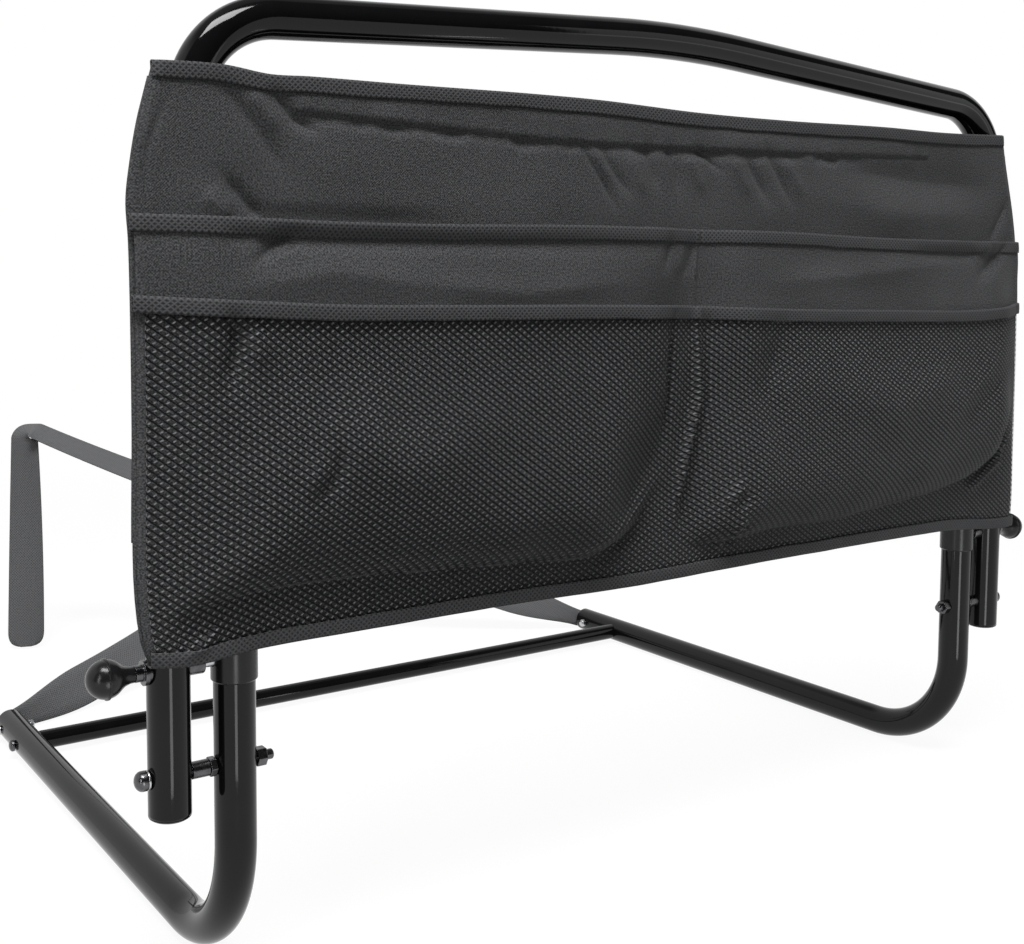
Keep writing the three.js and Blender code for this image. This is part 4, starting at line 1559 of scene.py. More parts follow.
@dataclass(frozen=True)
class Crease:
    """A fold in cloth along a few points, in millimetres across the panel and up."""

    route: tuple[tuple[float, float], ...]
    width: float
    depth: float
    reach_share: float = 3
    end_share: float = 0.25
    fade: Span = (-0.05, 0.3)
    roundness: float = 1.5

    def relief(self, x: float, z: float) -> float:
        """How far the fold stands proud at a point; less than 0 where it is a hollow.

        Args:
            x: Place across.
            z: Height.

        Returns:
            The distance.
        """
        reach = self.reach_share * self.width
        across = [point[0] for point in self.route]
        heights = [point[1] for point in self.route]
        if not min(across) - reach < x < max(across) + reach:
            return 0.0
        if not min(heights) - reach < z < max(heights) + reach:
            return 0.0
        best = math.inf
        share = 0.0
        pieces = len(self.route) - 1
        for index, ((ax, az), (bx, bz)) in enumerate(zip(self.route, self.route[1:])):
            dx, dz = bx - ax, bz - az
            along = ((x - ax) * dx + (z - az) * dz) / (dx * dx + dz * dz)
            along = min(1.0, max(0.0, along))
            away = math.hypot(x - ax - along * dx, z - az - along * dz)
            if away < best:
                best = away
                share = (index + along) / pieces
        ends = smooth(share, *self.fade) * smooth(1 - share, *self.fade)
        height = self.depth * blend(self.end_share, 1, ends)
        return height * math.exp(-((best / self.width) ** self.roundness))


LEFT_EDGE = Line((
    (198, -383), (205, -387), (216, -390), (232, -392), (249, -393), (330, -392), (395, -392), (426, -392.5),
    (446, -393.5), (466, -391), (487, -387), (500, -383.5), (520, -378),
))
RIGHT_EDGE = Line((
    (198, 377), (220, 378.5), (264, 378), (357, 377), (391, 376), (441, 373), (462, 368), (487, 360),
    (507, 354), (527, 351),
))
TOP_EDGE = Line((
    (-380, 517.2), (-340, 518.2), (-313, 515.6), (-290, 516.4), (-230, 517.4), (-140, 519.5), (-82, 520.0),
    (9, 518.4), (96, 519.3), (199, 522), (275, 522.6), (350, 525.6),
))
HEM_EDGE = Line((
    (-393, 202), (-365, 200.4), (-324, 203.6), (-235, 204.4), (-160, 204.8), (-61, 203.6), (39, 205),
    (125, 205.8), (221, 206.2), (284, 205.9), (348, 201), (378, 200.4),
))
CLOTH_MOUTH = Line((
    (-395, 438.2), (-334, 437.6), (-277, 436.8), (-216, 437.1), (-98, 439.6), (0, 439.7), (86, 439.7),
    (188, 437.8), (303, 437.8), (377, 438.6),
))
NET_MOUTH = Line((
    (-398, 396.6), (-336, 393.5), (-280, 391), (-219, 390.2), (-102, 389.6), (-4, 388.2), (82, 385.4),
    (184, 383.8), (300, 382.8), (350, 385.6), (377, 388),
))
BELLY_FOOT = Line((
    (-392, 213), (-369, 226), (-337, 234), (-309, 236), (-260, 236), (-223, 234), (-162, 231), (-114, 228),
    (-60, 226), (-20, 225), (30, 226), (73, 227.5), (137, 228.6), (213, 234.4), (275, 241.7), (313, 250),
    (340, 264), (378, 292),
))
BELLY_CROWN = Line((
    (-392, 232), (-369, 242), (-337, 256), (-297, 281), (-238, 272), (-177, 263), (-99, 260), (-50, 256),
    (-20, 247), (-3, 244), (42, 251), (131, 260), (199, 266), (281, 278), (320, 289), (345, 302), (378, 318),
))
STRIP_EDGE = Line((
    (-298, 498), (-189, 495.2), (-130, 493.6), (-81, 493.6), (96, 497.6), (178, 500), (253, 502.5),
))
SEAM_LINE = Line(((204, -25), (240, -19), (285, -10), (325, 1), (380, 2), (440, 5)))


@dataclass(frozen=True)
class Strip:
    """The strip sewn under the top binding, and the puckered cloth below its stitches."""

    rise: Span = (-300, -294)
    fall: Span = (250, 256)
    proud: float = 0.9
    step: Span = (-0.6, 0.8)
    groove: float = 0.9
    groove_half: float = 1.1
    scallops: Wander = Wander(1, 13, 2.5, 0.4)
    hollow_rise: Span = (-305, -280)
    hollow_fall: Span = (120, 215)
    hollow: float = 2.1
    hollow_share: float = 0.75
    scallop_share: float = 0.9
    drop: float = 2.4
    scallop_drop: float = 1.6
    stitch_reach: float = 2
    foot_reach: float = 7
    puckers: Wander = Wander(0.8, 6, 1.5, 5.5)
    pucker_half: float = 7

    def relief(self, x: float, z: float) -> float:
        """How far the strip and its puckers stand proud at a point.

        Args:
            x: Place across.
            z: Height.

        Returns:
            The distance, less than 0 in the hollows.
        """
        stitch = STRIP_EDGE.at(x)
        inside = within(x, self.rise, self.fall)
        step = self.proud * inside * smooth(z - stitch, *self.step)
        groove = -self.groove * inside * ridge(z - stitch, self.groove_half)
        scallop = self.scallops.at(x)
        depth = self.hollow * within(x, self.hollow_rise, self.hollow_fall)
        hollow = -depth * (self.hollow_share + self.scallop_share * scallop)
        foot = stitch - self.drop - self.scallop_drop * scallop
        fade = smooth(stitch - z, 0, self.stitch_reach) * (1 - smooth(foot - z, 0, self.foot_reach))
        pucker = inside * self.puckers.at(x) * ridge(z - stitch, self.pucker_half)
        return step + groove + hollow * fade + pucker


@dataclass
class Pouch:
    """The organiser pouch: panels, pockets and bindings."""

    handle: HandleTube
    finishes: Finishes
    sides: Span = (-390, 376)
    cloth: float = 1.5
    stand_off: float = 15.8
    pocket: float = 1.2
    pocket_inset: float = 1.5
    gap: float = 0.3
    wrap_grid: tuple[int, int] = (320, 70)
    wrap_width: float = 840
    wrap_slack: float = 1
    wrap_bottom: float = 268
    wrap_top: float = 509.7
    wrap_seam_inset: float = 0.5
    wrap_steps: int = 10
    wrap_middle: Span = (0, 60)
    wrap_middle_half: float = 340
    wrap_hollow: float = 0.8
    wrap_ripple: Ripple = Ripple(0.8, 90, 60, 9.3)
    tape_grid: tuple[int, int] = (420, 26)
    tape_width: float = 9
    tape: float = 0.8
    lap: float = 0.7
    tape_round: float = 3
    tape_ends: Span = (-390, 370)
    tape_turn: Span = (0.42, 0.58)
    tape_crown: float = 0.25
    tape_wave: float = 0.5
    tape_wave_span: float = 21
    tape_past_net: float = 0.4
    tape_behind_hem: float = 0.2
    net_flat: tuple[float, float] = (765.0, 186.0)
    net_width: float = 6.2
    net_height: float = 4.25
    net_inset: float = 5
    net_proud: float = 0.4
    strand: float = 0.38
    strand_ridge: float = 0.3
    strand_step: float = 3.5
    edge_roll: float = 1.6
    edge_roll_width: float = 7
    panel_grid: tuple[int, int] = (430, 90)
    panel_flat: tuple[float, float] = (768, 316)
    panel_knee: Span = (0.2, 0.68)
    panel_shows: Span = (426, 440)
    panel_crease_gain: float = 1.35
    panel_ripples: tuple[Ripple, ...] = (Ripple(1.5, 105, 62, 3.1), Ripple(0.5, 34, 26, 8.7))
    panel_top: Span = (3, 16)
    panel_top_share: float = 0.25
    overhang: float = 1.5
    overhang_rise: Span = (-350, -300)
    overhang_fall: Span = (-240, -180)
    overhang_height: Span = (439, 450)
    strip: Strip = Strip()
    belly_depth: float = 22
    belly_roundness: float = 1.8
    belly_lift: float = 3
    belly_wander: Wander = Wander(5, 31, 0.7, 2.2)
    pocket_slack: float = 0.4
    left_swell: Span = (2, 78)
    left_swell_seam: Span = (23, 87)
    right_swell: Span = (2, 60)
    right_swell_seam: Span = (4, 66)
    gape_side: Span = (2, 46)
    gape_seam: Span = (2, 48)
    gape_start: float = 8
    gape_end: float = 6
    net_gape: float = 11.5
    net_crease_gain: float = 2.2
    net_ripple: Ripple = Ripple(1.8, 70, 55, 6.6)
    net_ripple_start: Span = (6, 40)
    net_fine_ripple: Ripple = Ripple(0.5, 24, 24, 1.2)
    net_sewn_edge: Span = (2, 18)
    net_lift: float = 0.5
    net_play: float = 1.4
    net_clearance: float = 1.5
    pocket_grid: tuple[int, int] = (420, 104)
    pocket_flat: tuple[float, float] = (768, 234)
    pocket_knee: Span = (0.6, 0.74)
    cloth_gape: float = 7.5
    cloth_belly_less: float = 5
    cloth_shows: float = 378
    cloth_crease_gain: float = 1.4
    cloth_ripple: Ripple = Ripple(1.0, 60, 24, 4.4)
    cloth_behind: Span = (1, 12)
    hollow_left: tuple[Span, Span] = ((-350, -325), (-300, 40))
    hollow_right: tuple[Span, Span] = ((210, 250), (320, 350))
    hollow_right_share: float = 0.6
    hollow: float = 3.2
    hollow_height: float = 427.5
    hollow_half: float = 5.5
    swelling: float = 0.8
    swelling_height: float = 408
    swelling_half: float = 10
    seam_ridge: float = 1.1
    seam_ridge_offset: float = 2.6
    seam_ridge_half: float = 2
    seam_groove: float = 1.7
    seam_groove_half: float = 1.3
    panel_creases: tuple[Crease, ...] = (
        Crease(((-315, 513), (-298, 493), (-285, 488)), 3.4, -2.6),
        Crease(((-326, 508), (-309, 486)), 5, 1.6),
        Crease(((-343, 512), (-321, 487), (-303, 462)), 4.5, -1.5),
        Crease(((-97, 494), (-80, 472), (-65, 452)), 2.4, -1.5),
        Crease(((-88, 492), (-72, 470)), 3.2, 1.0),
        Crease(((-79, 489), (-66, 474), (-54, 462)), 3.2, -1.5),
        Crease(((-44, 498), (-36, 482), (-30, 466)), 3.4, -1.6),
        Crease(((-56, 488), (-42, 462)), 4, 1.1),
        Crease(((-22, 496), (-15, 480), (-10, 462)), 3.6, -1.5),
        Crease(((-6, 492), (12, 466)), 4.5, 1.2),
        Crease(((2, 496), (14, 490), (27, 482)), 3, -2.2),
        Crease(((36, 492), (56, 464)), 5, 1.3),
        Crease(((50, 494), (62, 478), (75, 462)), 4, -1.9),
        Crease(((70, 499), (84, 482), (98, 462)), 4, -1.8),
        Crease(((88, 494), (110, 468)), 5.5, 1.3),
        Crease(((-340, 461), (-328, 448), (-318, 438)), 4.5, -2.6),
        Crease(((-352, 452), (-338, 438)), 6, 1.6),
        Crease(((358, 472), (348, 455), (338, 440)), 4, -1.8),
        Crease(((150, 490), (240, 484), (335, 482)), 13, -2.2),
        Crease(((120, 466), (230, 458), (330, 462)), 14, 1.4),
        Crease(((-372, 500), (-384, 470), (-385, 445)), 2.2, -0.8),
    )
    pocket_creases: tuple[Crease, ...] = (
        Crease(((-300, 431), (-312, 426), (-326, 416)), 3.6, -2.6),
        Crease(((-318, 432), (-334, 424)), 6, 1.3),
        Crease(((-26, 434), (-28, 424), (-31, 414)), 3, -1.8),
        Crease(((0, 432), (-5, 420), (-11, 408)), 3.4, -1.7),
        Crease(((-14, 432), (-18, 410)), 4, 1.0),
        Crease(((350, 438), (332, 426), (308, 410)), 6.5, -3.2),
        Crease(((322, 436), (300, 424)), 8, 1.6),
        Crease(((-240, 404), (-150, 398), (-70, 404)), 9, 1.6),
        Crease(((60, 404), (150, 410), (260, 420)), 10, 1.6),
        Crease(((-340, 400), (-280, 410), (-230, 404)), 9, 1.2),
    )
    net_creases: tuple[Crease, ...] = (
        Crease(((-342, 384), (-340, 371), (-347, 348)), 5, -2.4),
        Crease(((-330, 380), (-328, 360)), 6, 1.4),
        Crease(((-25, 384), (-25, 350), (-24, 326), (-31, 286)), 3.2, -2.2),
        Crease(((2, 386), (2, 325), (-9, 285), (-18, 242)), 3, 3.2),
        Crease(((12, 380), (11, 325), (1, 285), (-9, 244)), 4.5, -1.6),
        Crease(((-27, 266), (-40, 252), (-52, 239), (-100, 222)), 3.6, -3.6),
        Crease(((-34, 276), (-62, 252), (-104, 234)), 6, 2.2),
        Crease(((32, 268), (28, 260), (22, 252)), 3, 1.8),
        Crease(((38, 262), (31, 250)), 3, -1.6),
        Crease(((35, 243), (30, 230), (24, 219)), 3, 1.8),
        Crease(((42, 240), (34, 222)), 3.4, -1.6),
        Crease(((360, 299), (341, 284), (340, 266), (314, 250), (296, 242)), 3, -3.2),
        Crease(((366, 288), (349, 274), (346, 258), (322, 244), (302, 234)), 4, 2.4),
        Crease(((298, 242), (312, 230), (320, 212)), 3.4, -1.5),
        Crease(((332, 240), (340, 222), (342, 208)), 3.4, -1.4),
        Crease(((-300, 330), (-240, 300), (-180, 320)), 26, 2.4),
        Crease(((110, 330), (190, 310), (280, 340)), 26, 2.6),
        Crease(((80, 380), (60, 330), (70, 280)), 13, -2.2),
        Crease(((-370, 214), (-350, 222), (-320, 226)), 4, -2.0),
        Crease(((-366, 206), (-352, 214), (-346, 226)), 3, 1.5),
        Crease(((-284, 314), (-287, 298), (-300, 284)), 4, -1.6),
        Crease(((-296, 308), (-304, 292)), 6, 1.0),
        Crease(((252, 300), (292, 325), (330, 352)), 9, 1.2),
        Crease(((268, 292), (306, 314), (344, 340)), 8, -1.0),
    )

    def spot(self, u: float, v: float, low: Line, high: Line, inset: float = 0) -> tuple[float, float]:
        """A place on a panel between two lines and the side edges.

        Args:
            u: Share across, from the left.
            v: Share up.
            low: The lower line.
            high: The upper line.
            inset: How far inside the side edges it ends.

        Returns:
            X and height.
        """
        guess = blend(*self.sides, u)
        z = blend(low.at(guess), high.at(guess), v)
        x = blend(LEFT_EDGE.at(z) + inset, RIGHT_EDGE.at(z) - inset, u)
        return x, blend(low.at(x), high.at(x), v)

    def from_edge(self, x: float, z: float) -> float:
        """Distance from the nearer side edge."""
        return min(x - LEFT_EDGE.at(z), RIGHT_EDGE.at(z) - x)

    def edge_ease(self, x: float, z: float) -> float:
        """How far the cloth rolls back at its side edges."""
        return self.edge_roll * (1 - smooth(self.from_edge(x, z), 0, self.edge_roll_width)) ** 2

    def panel_depth(self, x: float, z: float) -> float:
        """Distance of the front panel's outer face from the pivot plane.

        Args:
            x: Place across.
            z: Height.

        Returns:
            The distance.
        """
        relief = 0.0
        if z > self.panel_shows[0]:
            relief = self.panel_crease_gain * sum(crease.relief(x, z) for crease in self.panel_creases)
            relief += sum(ripple.at(x, z) for ripple in self.panel_ripples)
            relief += self.strip.relief(x, z)
            over = within(x, self.overhang_rise, self.overhang_fall)
            relief -= self.overhang * over * (1 - smooth(z, *self.overhang_height))
            below_top = smooth(TOP_EDGE.at(x) - z, *self.panel_top)
            relief *= smooth(z, *self.panel_shows) * blend(self.panel_top_share, 1, below_top)
        return self.stand_off + self.cloth + relief - self.edge_ease(x, z)

    def sag(self, x: float, z: float, gape: float, depth: float, mouth: Line) -> float:
        """How far a pocket bellies out at a place.

        Args:
            x: Place across.
            z: Height.
            gape: How far its mouth stands open.
            depth: How far its belly hangs out.
            mouth: Its mouth.

        Returns:
            The distance.
        """
        seam = SEAM_LINE.at(z)
        if x < seam:
            from_side, from_seam = x - LEFT_EDGE.at(z), seam - x
            swell = smooth(from_side, *self.left_swell) * smooth(from_seam, *self.left_swell_seam)
        else:
            from_side, from_seam = RIGHT_EDGE.at(z) - x, x - seam
            swell = smooth(from_side, *self.right_swell) * smooth(from_seam, *self.right_swell_seam)
        open_share = smooth(from_side, *self.gape_side) * smooth(from_seam, *self.gape_seam)
        foot = BELLY_FOOT.at(x)
        crown = BELLY_CROWN.at(x) + self.belly_lift + self.belly_wander.at(x)
        under = min(1.0, max(0.0, (crown - z) / (crown - foot)))
        power = self.belly_roundness
        hung = depth * swell * (1 - under ** power) ** (1 / power)
        upward = smooth(z, crown + self.gape_start, mouth.at(x) - self.gape_end)
        return self.pocket_slack + blend(hung, gape * open_share, upward)

    def pocket_base(self) -> float:
        """Distance of a pocket that lies flat on the panel and its tape."""
        return self.stand_off + self.cloth + self.tape + 2 * self.gap + self.pocket

    def net_depth(self, x: float, z: float) -> float:
        """Distance of the netting's middle from the pivot plane.

        Args:
            x: Place across.
            z: Height.

        Returns:
            The distance.
        """
        relief = self.sag(x, z, self.net_gape, self.belly_depth, NET_MOUTH)
        relief += self.net_crease_gain * sum(crease.relief(x, z) for crease in self.net_creases)
        relief += self.net_ripple.at(x, z) * smooth(NET_MOUTH.at(x) - z, *self.net_ripple_start)
        relief += self.net_fine_ripple.at(x, z)
        free = smooth(self.from_edge(x, z), *self.net_sewn_edge)
        stand = self.net_lift + free * (self.net_play + max(0.0, relief))
        return self.pocket_base() + stand - self.edge_ease(x, z)

    def cloth_relief(self, x: float, z: float) -> float:
        """The cloth pocket's folds above the netting, and its seam.

        Args:
            x: Place across.
            z: Height.

        Returns:
            How far they stand proud, less than 0 in the hollows.
        """
        under = within(x, *self.hollow_left) + self.hollow_right_share * within(x, *self.hollow_right)
        from_seam = x - SEAM_LINE.at(z)
        relief = self.cloth_crease_gain * sum(crease.relief(x, z) for crease in self.pocket_creases)
        relief -= self.hollow * under * ridge(z - self.hollow_height, self.hollow_half)
        relief += self.swelling * under * ridge(z - self.swelling_height, self.swelling_half)
        relief += self.seam_ridge * ridge(from_seam + self.seam_ridge_offset, self.seam_ridge_half)
        relief -= self.seam_groove * ridge(from_seam, self.seam_groove_half)
        return relief + self.cloth_ripple.at(x, z)

    def cloth_depth(self, x: float, z: float) -> float:
        """Distance of the cloth pocket's outer face, which lies against the netting below its mouth.

        Args:
            x: Place across.
            z: Height.

        Returns:
            The distance from the pivot plane.
        """
        relief = self.sag(x, z, self.cloth_gape, self.belly_depth - self.cloth_belly_less, CLOTH_MOUTH)
        if z > self.cloth_shows:
            relief += self.cloth_relief(x, z)
        front = self.pocket_base() + max(0.0, relief) - self.edge_ease(x, z)
        behind = smooth(NET_MOUTH.at(x) - z, *self.cloth_behind)
        if behind == 0:
            return front
        return blend(front, self.net_depth(x, z) - self.net_clearance, behind)

    def sheet(
        self, name: str, grid: tuple[int, int], size: tuple[float, float],
        place: Callable[[float, float], Vector], knee: Span = (0.5, 0.5),
    ) -> Piece:
        """A grid of cloth laid by a function, with its threads in its UV map.

        Args:
            name: The node that it stands for.
            grid: Quads across and up.
            size: Its flat width and height in millimetres.
            place: Gives a point for shares across and up.
            knee: The share of the rows at which their spacing changes, and the height's share there.

        Returns:
            The piece under way.
        """
        piece = Piece(name)
        bmesh.ops.create_grid(piece.mesh, x_segments=grid[0], y_segments=grid[1], size=0.5)
        for vert in piece.mesh.verts:
            vert.co.y = kneed(min(1.0, max(0.0, vert.co.y + 0.5)), knee) - 0.5
        uv = piece.mesh.loops.layers.uv.new("weave")
        for face in piece.mesh.faces:
            for loop in face.loops:
                spot = loop.vert.co
                loop[uv].uv = ((spot.x + 0.5) * size[0] * METRE, (spot.y + 0.5) * size[1] * METRE)
        for vert in piece.mesh.verts:
            vert.co = place(vert.co.x + 0.5, vert.co.y + 0.5)
        return piece

    def build(self) -> None:
        """Builds the panels, pockets and bindings."""
        self.build_front()
        self.build_back()
        self.build_cloth_pocket()
        self.build_net()
        self.build_bindings()

    def build_front(self) -> None:
        """Builds the front panel, its rows close together where it shows."""
        def place(u: float, v: float) -> Vector:
            """A point of the front panel."""
            x, z = self.spot(u, v, HEM_EDGE, TOP_EDGE)
            return Vector((x, -self.panel_depth(x, z) + self.cloth, z))

        front = self.sheet("pouch_front", self.panel_grid, self.panel_flat, place, self.panel_knee)
        shown = front.finish("handle", Slot.CLOTH, self.finishes)
        panel = walled(shown, self.cloth, 1)

    def build_cloth_pocket(self) -> None:
        """Builds the cloth pocket's skin, its rows wider behind the netting than above it."""
        def place(u: float, v: float) -> Vector:
            """A point of the cloth pocket."""
            x, z = self.spot(u, v, HEM_EDGE, CLOTH_MOUTH, self.pocket_inset)
            return Vector((x, -self.cloth_depth(x, z) + self.pocket, z))

        skin = self.sheet("pouch_cloth_pocket", self.pocket_grid, self.pocket_flat, place, self.pocket_knee)
        shown = skin.finish("handle", Slot.CLOTH, self.finishes)
        pocket = walled(shown, self.pocket, 1)

    def build_net(self) -> None:
        """Builds the netting pocket strand by strand: a lattice of diamonds with open cells."""
        piece = Piece("pouch_mesh_pocket")
        mesh = piece.mesh
        width, height = self.net_flat
        columns = 2 * round(width / self.net_width / 2)
        rows = 2 * round(height / self.net_height / 2)
        bmesh.ops.create_grid(mesh, x_segments=columns, y_segments=rows, size=0.5)
        bmesh.ops.scale(mesh, vec=(width, height, 1), verts=mesh.verts)
        squares = list(mesh.edges)
        bmesh.ops.poke(mesh, faces=mesh.faces[:])
        inner = [edge for edge in squares if edge.is_valid and not edge.is_boundary]
        bmesh.ops.dissolve_edges(mesh, edges=inner, use_verts=False)
        cells = list(mesh.faces)
        bmesh.ops.inset_individual(
            mesh, faces=cells, thickness=self.strand, depth=-self.strand_ridge, use_even_offset=True,
        )
        bmesh.ops.delete(mesh, geom=[cell for cell in cells if cell.is_valid], context="FACES")
        uv = mesh.loops.layers.uv.new("weave")
        for face in mesh.faces:
            for loop in face.loops:
                loop[uv].uv = (
                    loop.vert.co.x / width * columns * self.net_width * METRE,
                    loop.vert.co.y / height * rows * self.net_height * METRE,
                )
        for vert in mesh.verts:
            u, v = vert.co.x / width + 0.5, vert.co.y / height + 0.5
            x, z = self.spot(u, v, HEM_EDGE, NET_MOUTH, self.net_inset)
            vert.co = (x, -self.net_depth(x, z) - vert.co.z - self.net_proud, z)
        netting = piece.finish("handle", Slot.NETTING, self.finishes)

    def wrap_line(self, z: float) -> list[tuple[float, float]]:
        """The rear panel's inner line at a height, from the left seam round the back to the right.

        Args:
            z: The height.

        Returns:
            Pairs of X and Y.
        """
        around = self.handle.sizes.tube_radius + self.wrap_slack
        post = self.handle.post_centre(z)
        ahead = -self.stand_off + self.gap
        points: list[tuple[float, float]] = []
        for side, edge in ((Side.LEFT, -LEFT_EDGE.at(z)), (Side.RIGHT, RIGHT_EDGE.at(z))):
            seam = edge - self.wrap_seam_inset
            out = seam - post
            first = math.atan2(ahead, out) + math.acos(min(1.0, around / math.hypot(out, ahead)))
            run = [(side.value * seam, ahead)]
            for step in range(self.wrap_steps + 1):
                angle = blend(first, math.pi / 2, step / self.wrap_steps)
                run.append((side.value * (post + around * math.cos(angle)), around * math.sin(angle)))
            points += run if side is Side.LEFT else run[::-1]
        return points

    def build_back(self) -> None:
        """Builds the rear panel, drawn taut round both posts."""
        def place(u: float, v: float) -> Vector:
            """A point of the rear panel.

            Args:
                u: Share of the way round, from the left seam.
                v: Share up.

            Returns:
                The point.
            """
            z = blend(self.wrap_bottom, self.wrap_top, v)
            line = self.wrap_line(z)
            lengths = [0.0]
            for a, b in zip(line, line[1:]):
                lengths.append(lengths[-1] + math.dist(a, b))
            wanted = u * lengths[-1]
            last = len(line) - 2
            index = next((i for i in range(last + 1) if wanted <= lengths[i + 1]), last)
            share = (wanted - lengths[index]) / (lengths[index + 1] - lengths[index])
            x = blend(line[index][0], line[index + 1][0], share)
            y = blend(line[index][1], line[index + 1][1], share)
            middle = smooth(self.wrap_middle_half - abs(x), *self.wrap_middle)
            slack = self.wrap_ripple.at(x, z) + self.wrap_hollow * middle
            return Vector((x, y - slack * middle, z))

        height = self.wrap_top - self.wrap_bottom
        back = self.sheet("pouch_back", self.wrap_grid, (self.wrap_width, height), place)
        bmesh.ops.recalc_face_normals(back.mesh, faces=back.mesh.faces)
        centre = min(back.mesh.faces, key=lambda face: abs(face.calc_center_median().x))
        centre.normal_update()
        if centre.normal.y < 0:
            bmesh.ops.reverse_faces(back.mesh, faces=back.mesh.faces)
        shown = back.finish("handle", Slot.CLOTH, self.finishes)
        wrap = walled(shown, self.cloth, 1)

    def build_bindings(self) -> None:
        """Builds the four folded tapes."""
        def held_by_panel(x: float, z: float) -> tuple[float, float]:
            """Rear and front of the panel's top edge."""
            front = self.panel_depth(x, min(z, TOP_EDGE.at(x)))
            return front - self.cloth, front

        def held_by_cloth(x: float, z: float) -> tuple[float, float]:
            """Rear and front of the cloth pocket's mouth."""
            front = self.cloth_depth(x, min(z, CLOTH_MOUTH.at(x)))
            return front - self.pocket, front

        def held_by_net(x: float, z: float) -> tuple[float, float]:
            """Rear and front of the netting's mouth."""
            front = self.net_depth(x, min(z, NET_MOUTH.at(x)))
            return front - self.pocket, front + self.tape_past_net

        def held_by_hem(x: float, z: float) -> tuple[float, float]:
            """Rear and front of everything that is sewn into the hem."""
            front = self.net_depth(x, max(z, HEM_EDGE.at(x)))
            return self.stand_off - self.tape_behind_hem, front + self.tape_past_net

        self.build_tape("binding_top", TOP_EDGE, held_by_panel, 1)
        self.build_tape("binding_cloth_pocket", CLOTH_MOUTH, held_by_cloth, 1)
        self.build_tape("binding_mesh_pocket", NET_MOUTH, held_by_net, 1)
        self.build_tape("binding_hem", HEM_EDGE, held_by_hem, -1)

    def build_tape(
        self, name: str, edge_line: Line, layers: Callable[[float, float], tuple[float, float]], up: int,
    ) -> None:
        """Builds one tape folded over an edge.

        Args:
            name: The node that it stands for.
            edge_line: The edge that it is folded over.
            layers: Rear and front distances of what the tape holds, at a place and height.
            up: 1 where the fold lies above the edge, -1 below.
        """
        middle = edge_line.at(0)
        start = LEFT_EDGE.at(edge_line.at(self.tape_ends[0])) - self.lap
        stop = RIGHT_EDGE.at(edge_line.at(self.tape_ends[1])) - self.lap
        flap_share, turn_end = self.tape_turn

        def place(u: float, v: float) -> Vector:
            """A point of the tape.

            Args:
                u: Share along it.
                v: Share of the way from its rear edge over the fold to its front edge.

            Returns:
                The point.
            """
            x = blend(start, stop, u)
            edge = edge_line.at(x)
            wave = self.tape_wave * noise.noise(Vector((x / self.tape_wave_span, middle, v * 2)))
            open_end = edge - up * (self.tape_width - self.gap - self.tape + wave)
            if v < flap_share:
                z = blend(open_end, edge, v / flap_share)
                return Vector((x, -(layers(x, z)[0] - self.gap), z))
            if v > turn_end:
                share = (v - turn_end) / (1 - turn_end)
                z = blend(edge, open_end, share)
                crown = self.tape_crown * math.sin(math.pi * share)
                return Vector((x, -(layers(x, z)[1] + self.gap + crown), z))
            rear, ahead = layers(x, edge)
            angle = math.pi * (v - flap_share) / (turn_end - flap_share)
            half = (ahead - rear) / 2 + self.gap
            depth = (rear + ahead) / 2 - half * math.cos(angle)
            return Vector((x, -depth, edge + up * self.gap * math.sin(angle)))

        girth = 2 * self.tape_width + self.tape_round
        strip = self.sheet(name, self.tape_grid, (stop - start, girth), place)
        if up > 0:
            bmesh.ops.reverse_faces(strip.mesh, faces=strip.mesh.faces)
        walled(strip.finish("handle", Slot.TAPE, self.finishes), self.tape, 1)


# The studio


@dataclass(frozen=True)
class Lamp:
    """A soft lamp: where it hangs and what it points at in metres, its size, and its power in watts.

    A lamp that isn't shown still lights the object and is mirrored in it, but the camera doesn't see it.
    """

    name: str
    place: tuple[float, float, float]
    target: tuple[float, float, float]
    size: tuple[float, float]
    power: float
    shown: bool = True

    def hang(self) -> None:
        """Adds the lamp to the scene."""
        data = bpy.data.lights.new(self.name, "AREA")
        data.shape = "RECTANGLE"
        data.size, data.size_y = self.size
        data.energy = self.power
        lamp = shown_object(self.name, data)
        lamp.visible_camera = self.shown
        heading = Vector(self.target) - Vector(self.place)
        turn = heading.to_track_quat("-Z", "Y").to_matrix().to_4x4()
        lamp.matrix_world = Matrix.Translation(self.place) @ turn


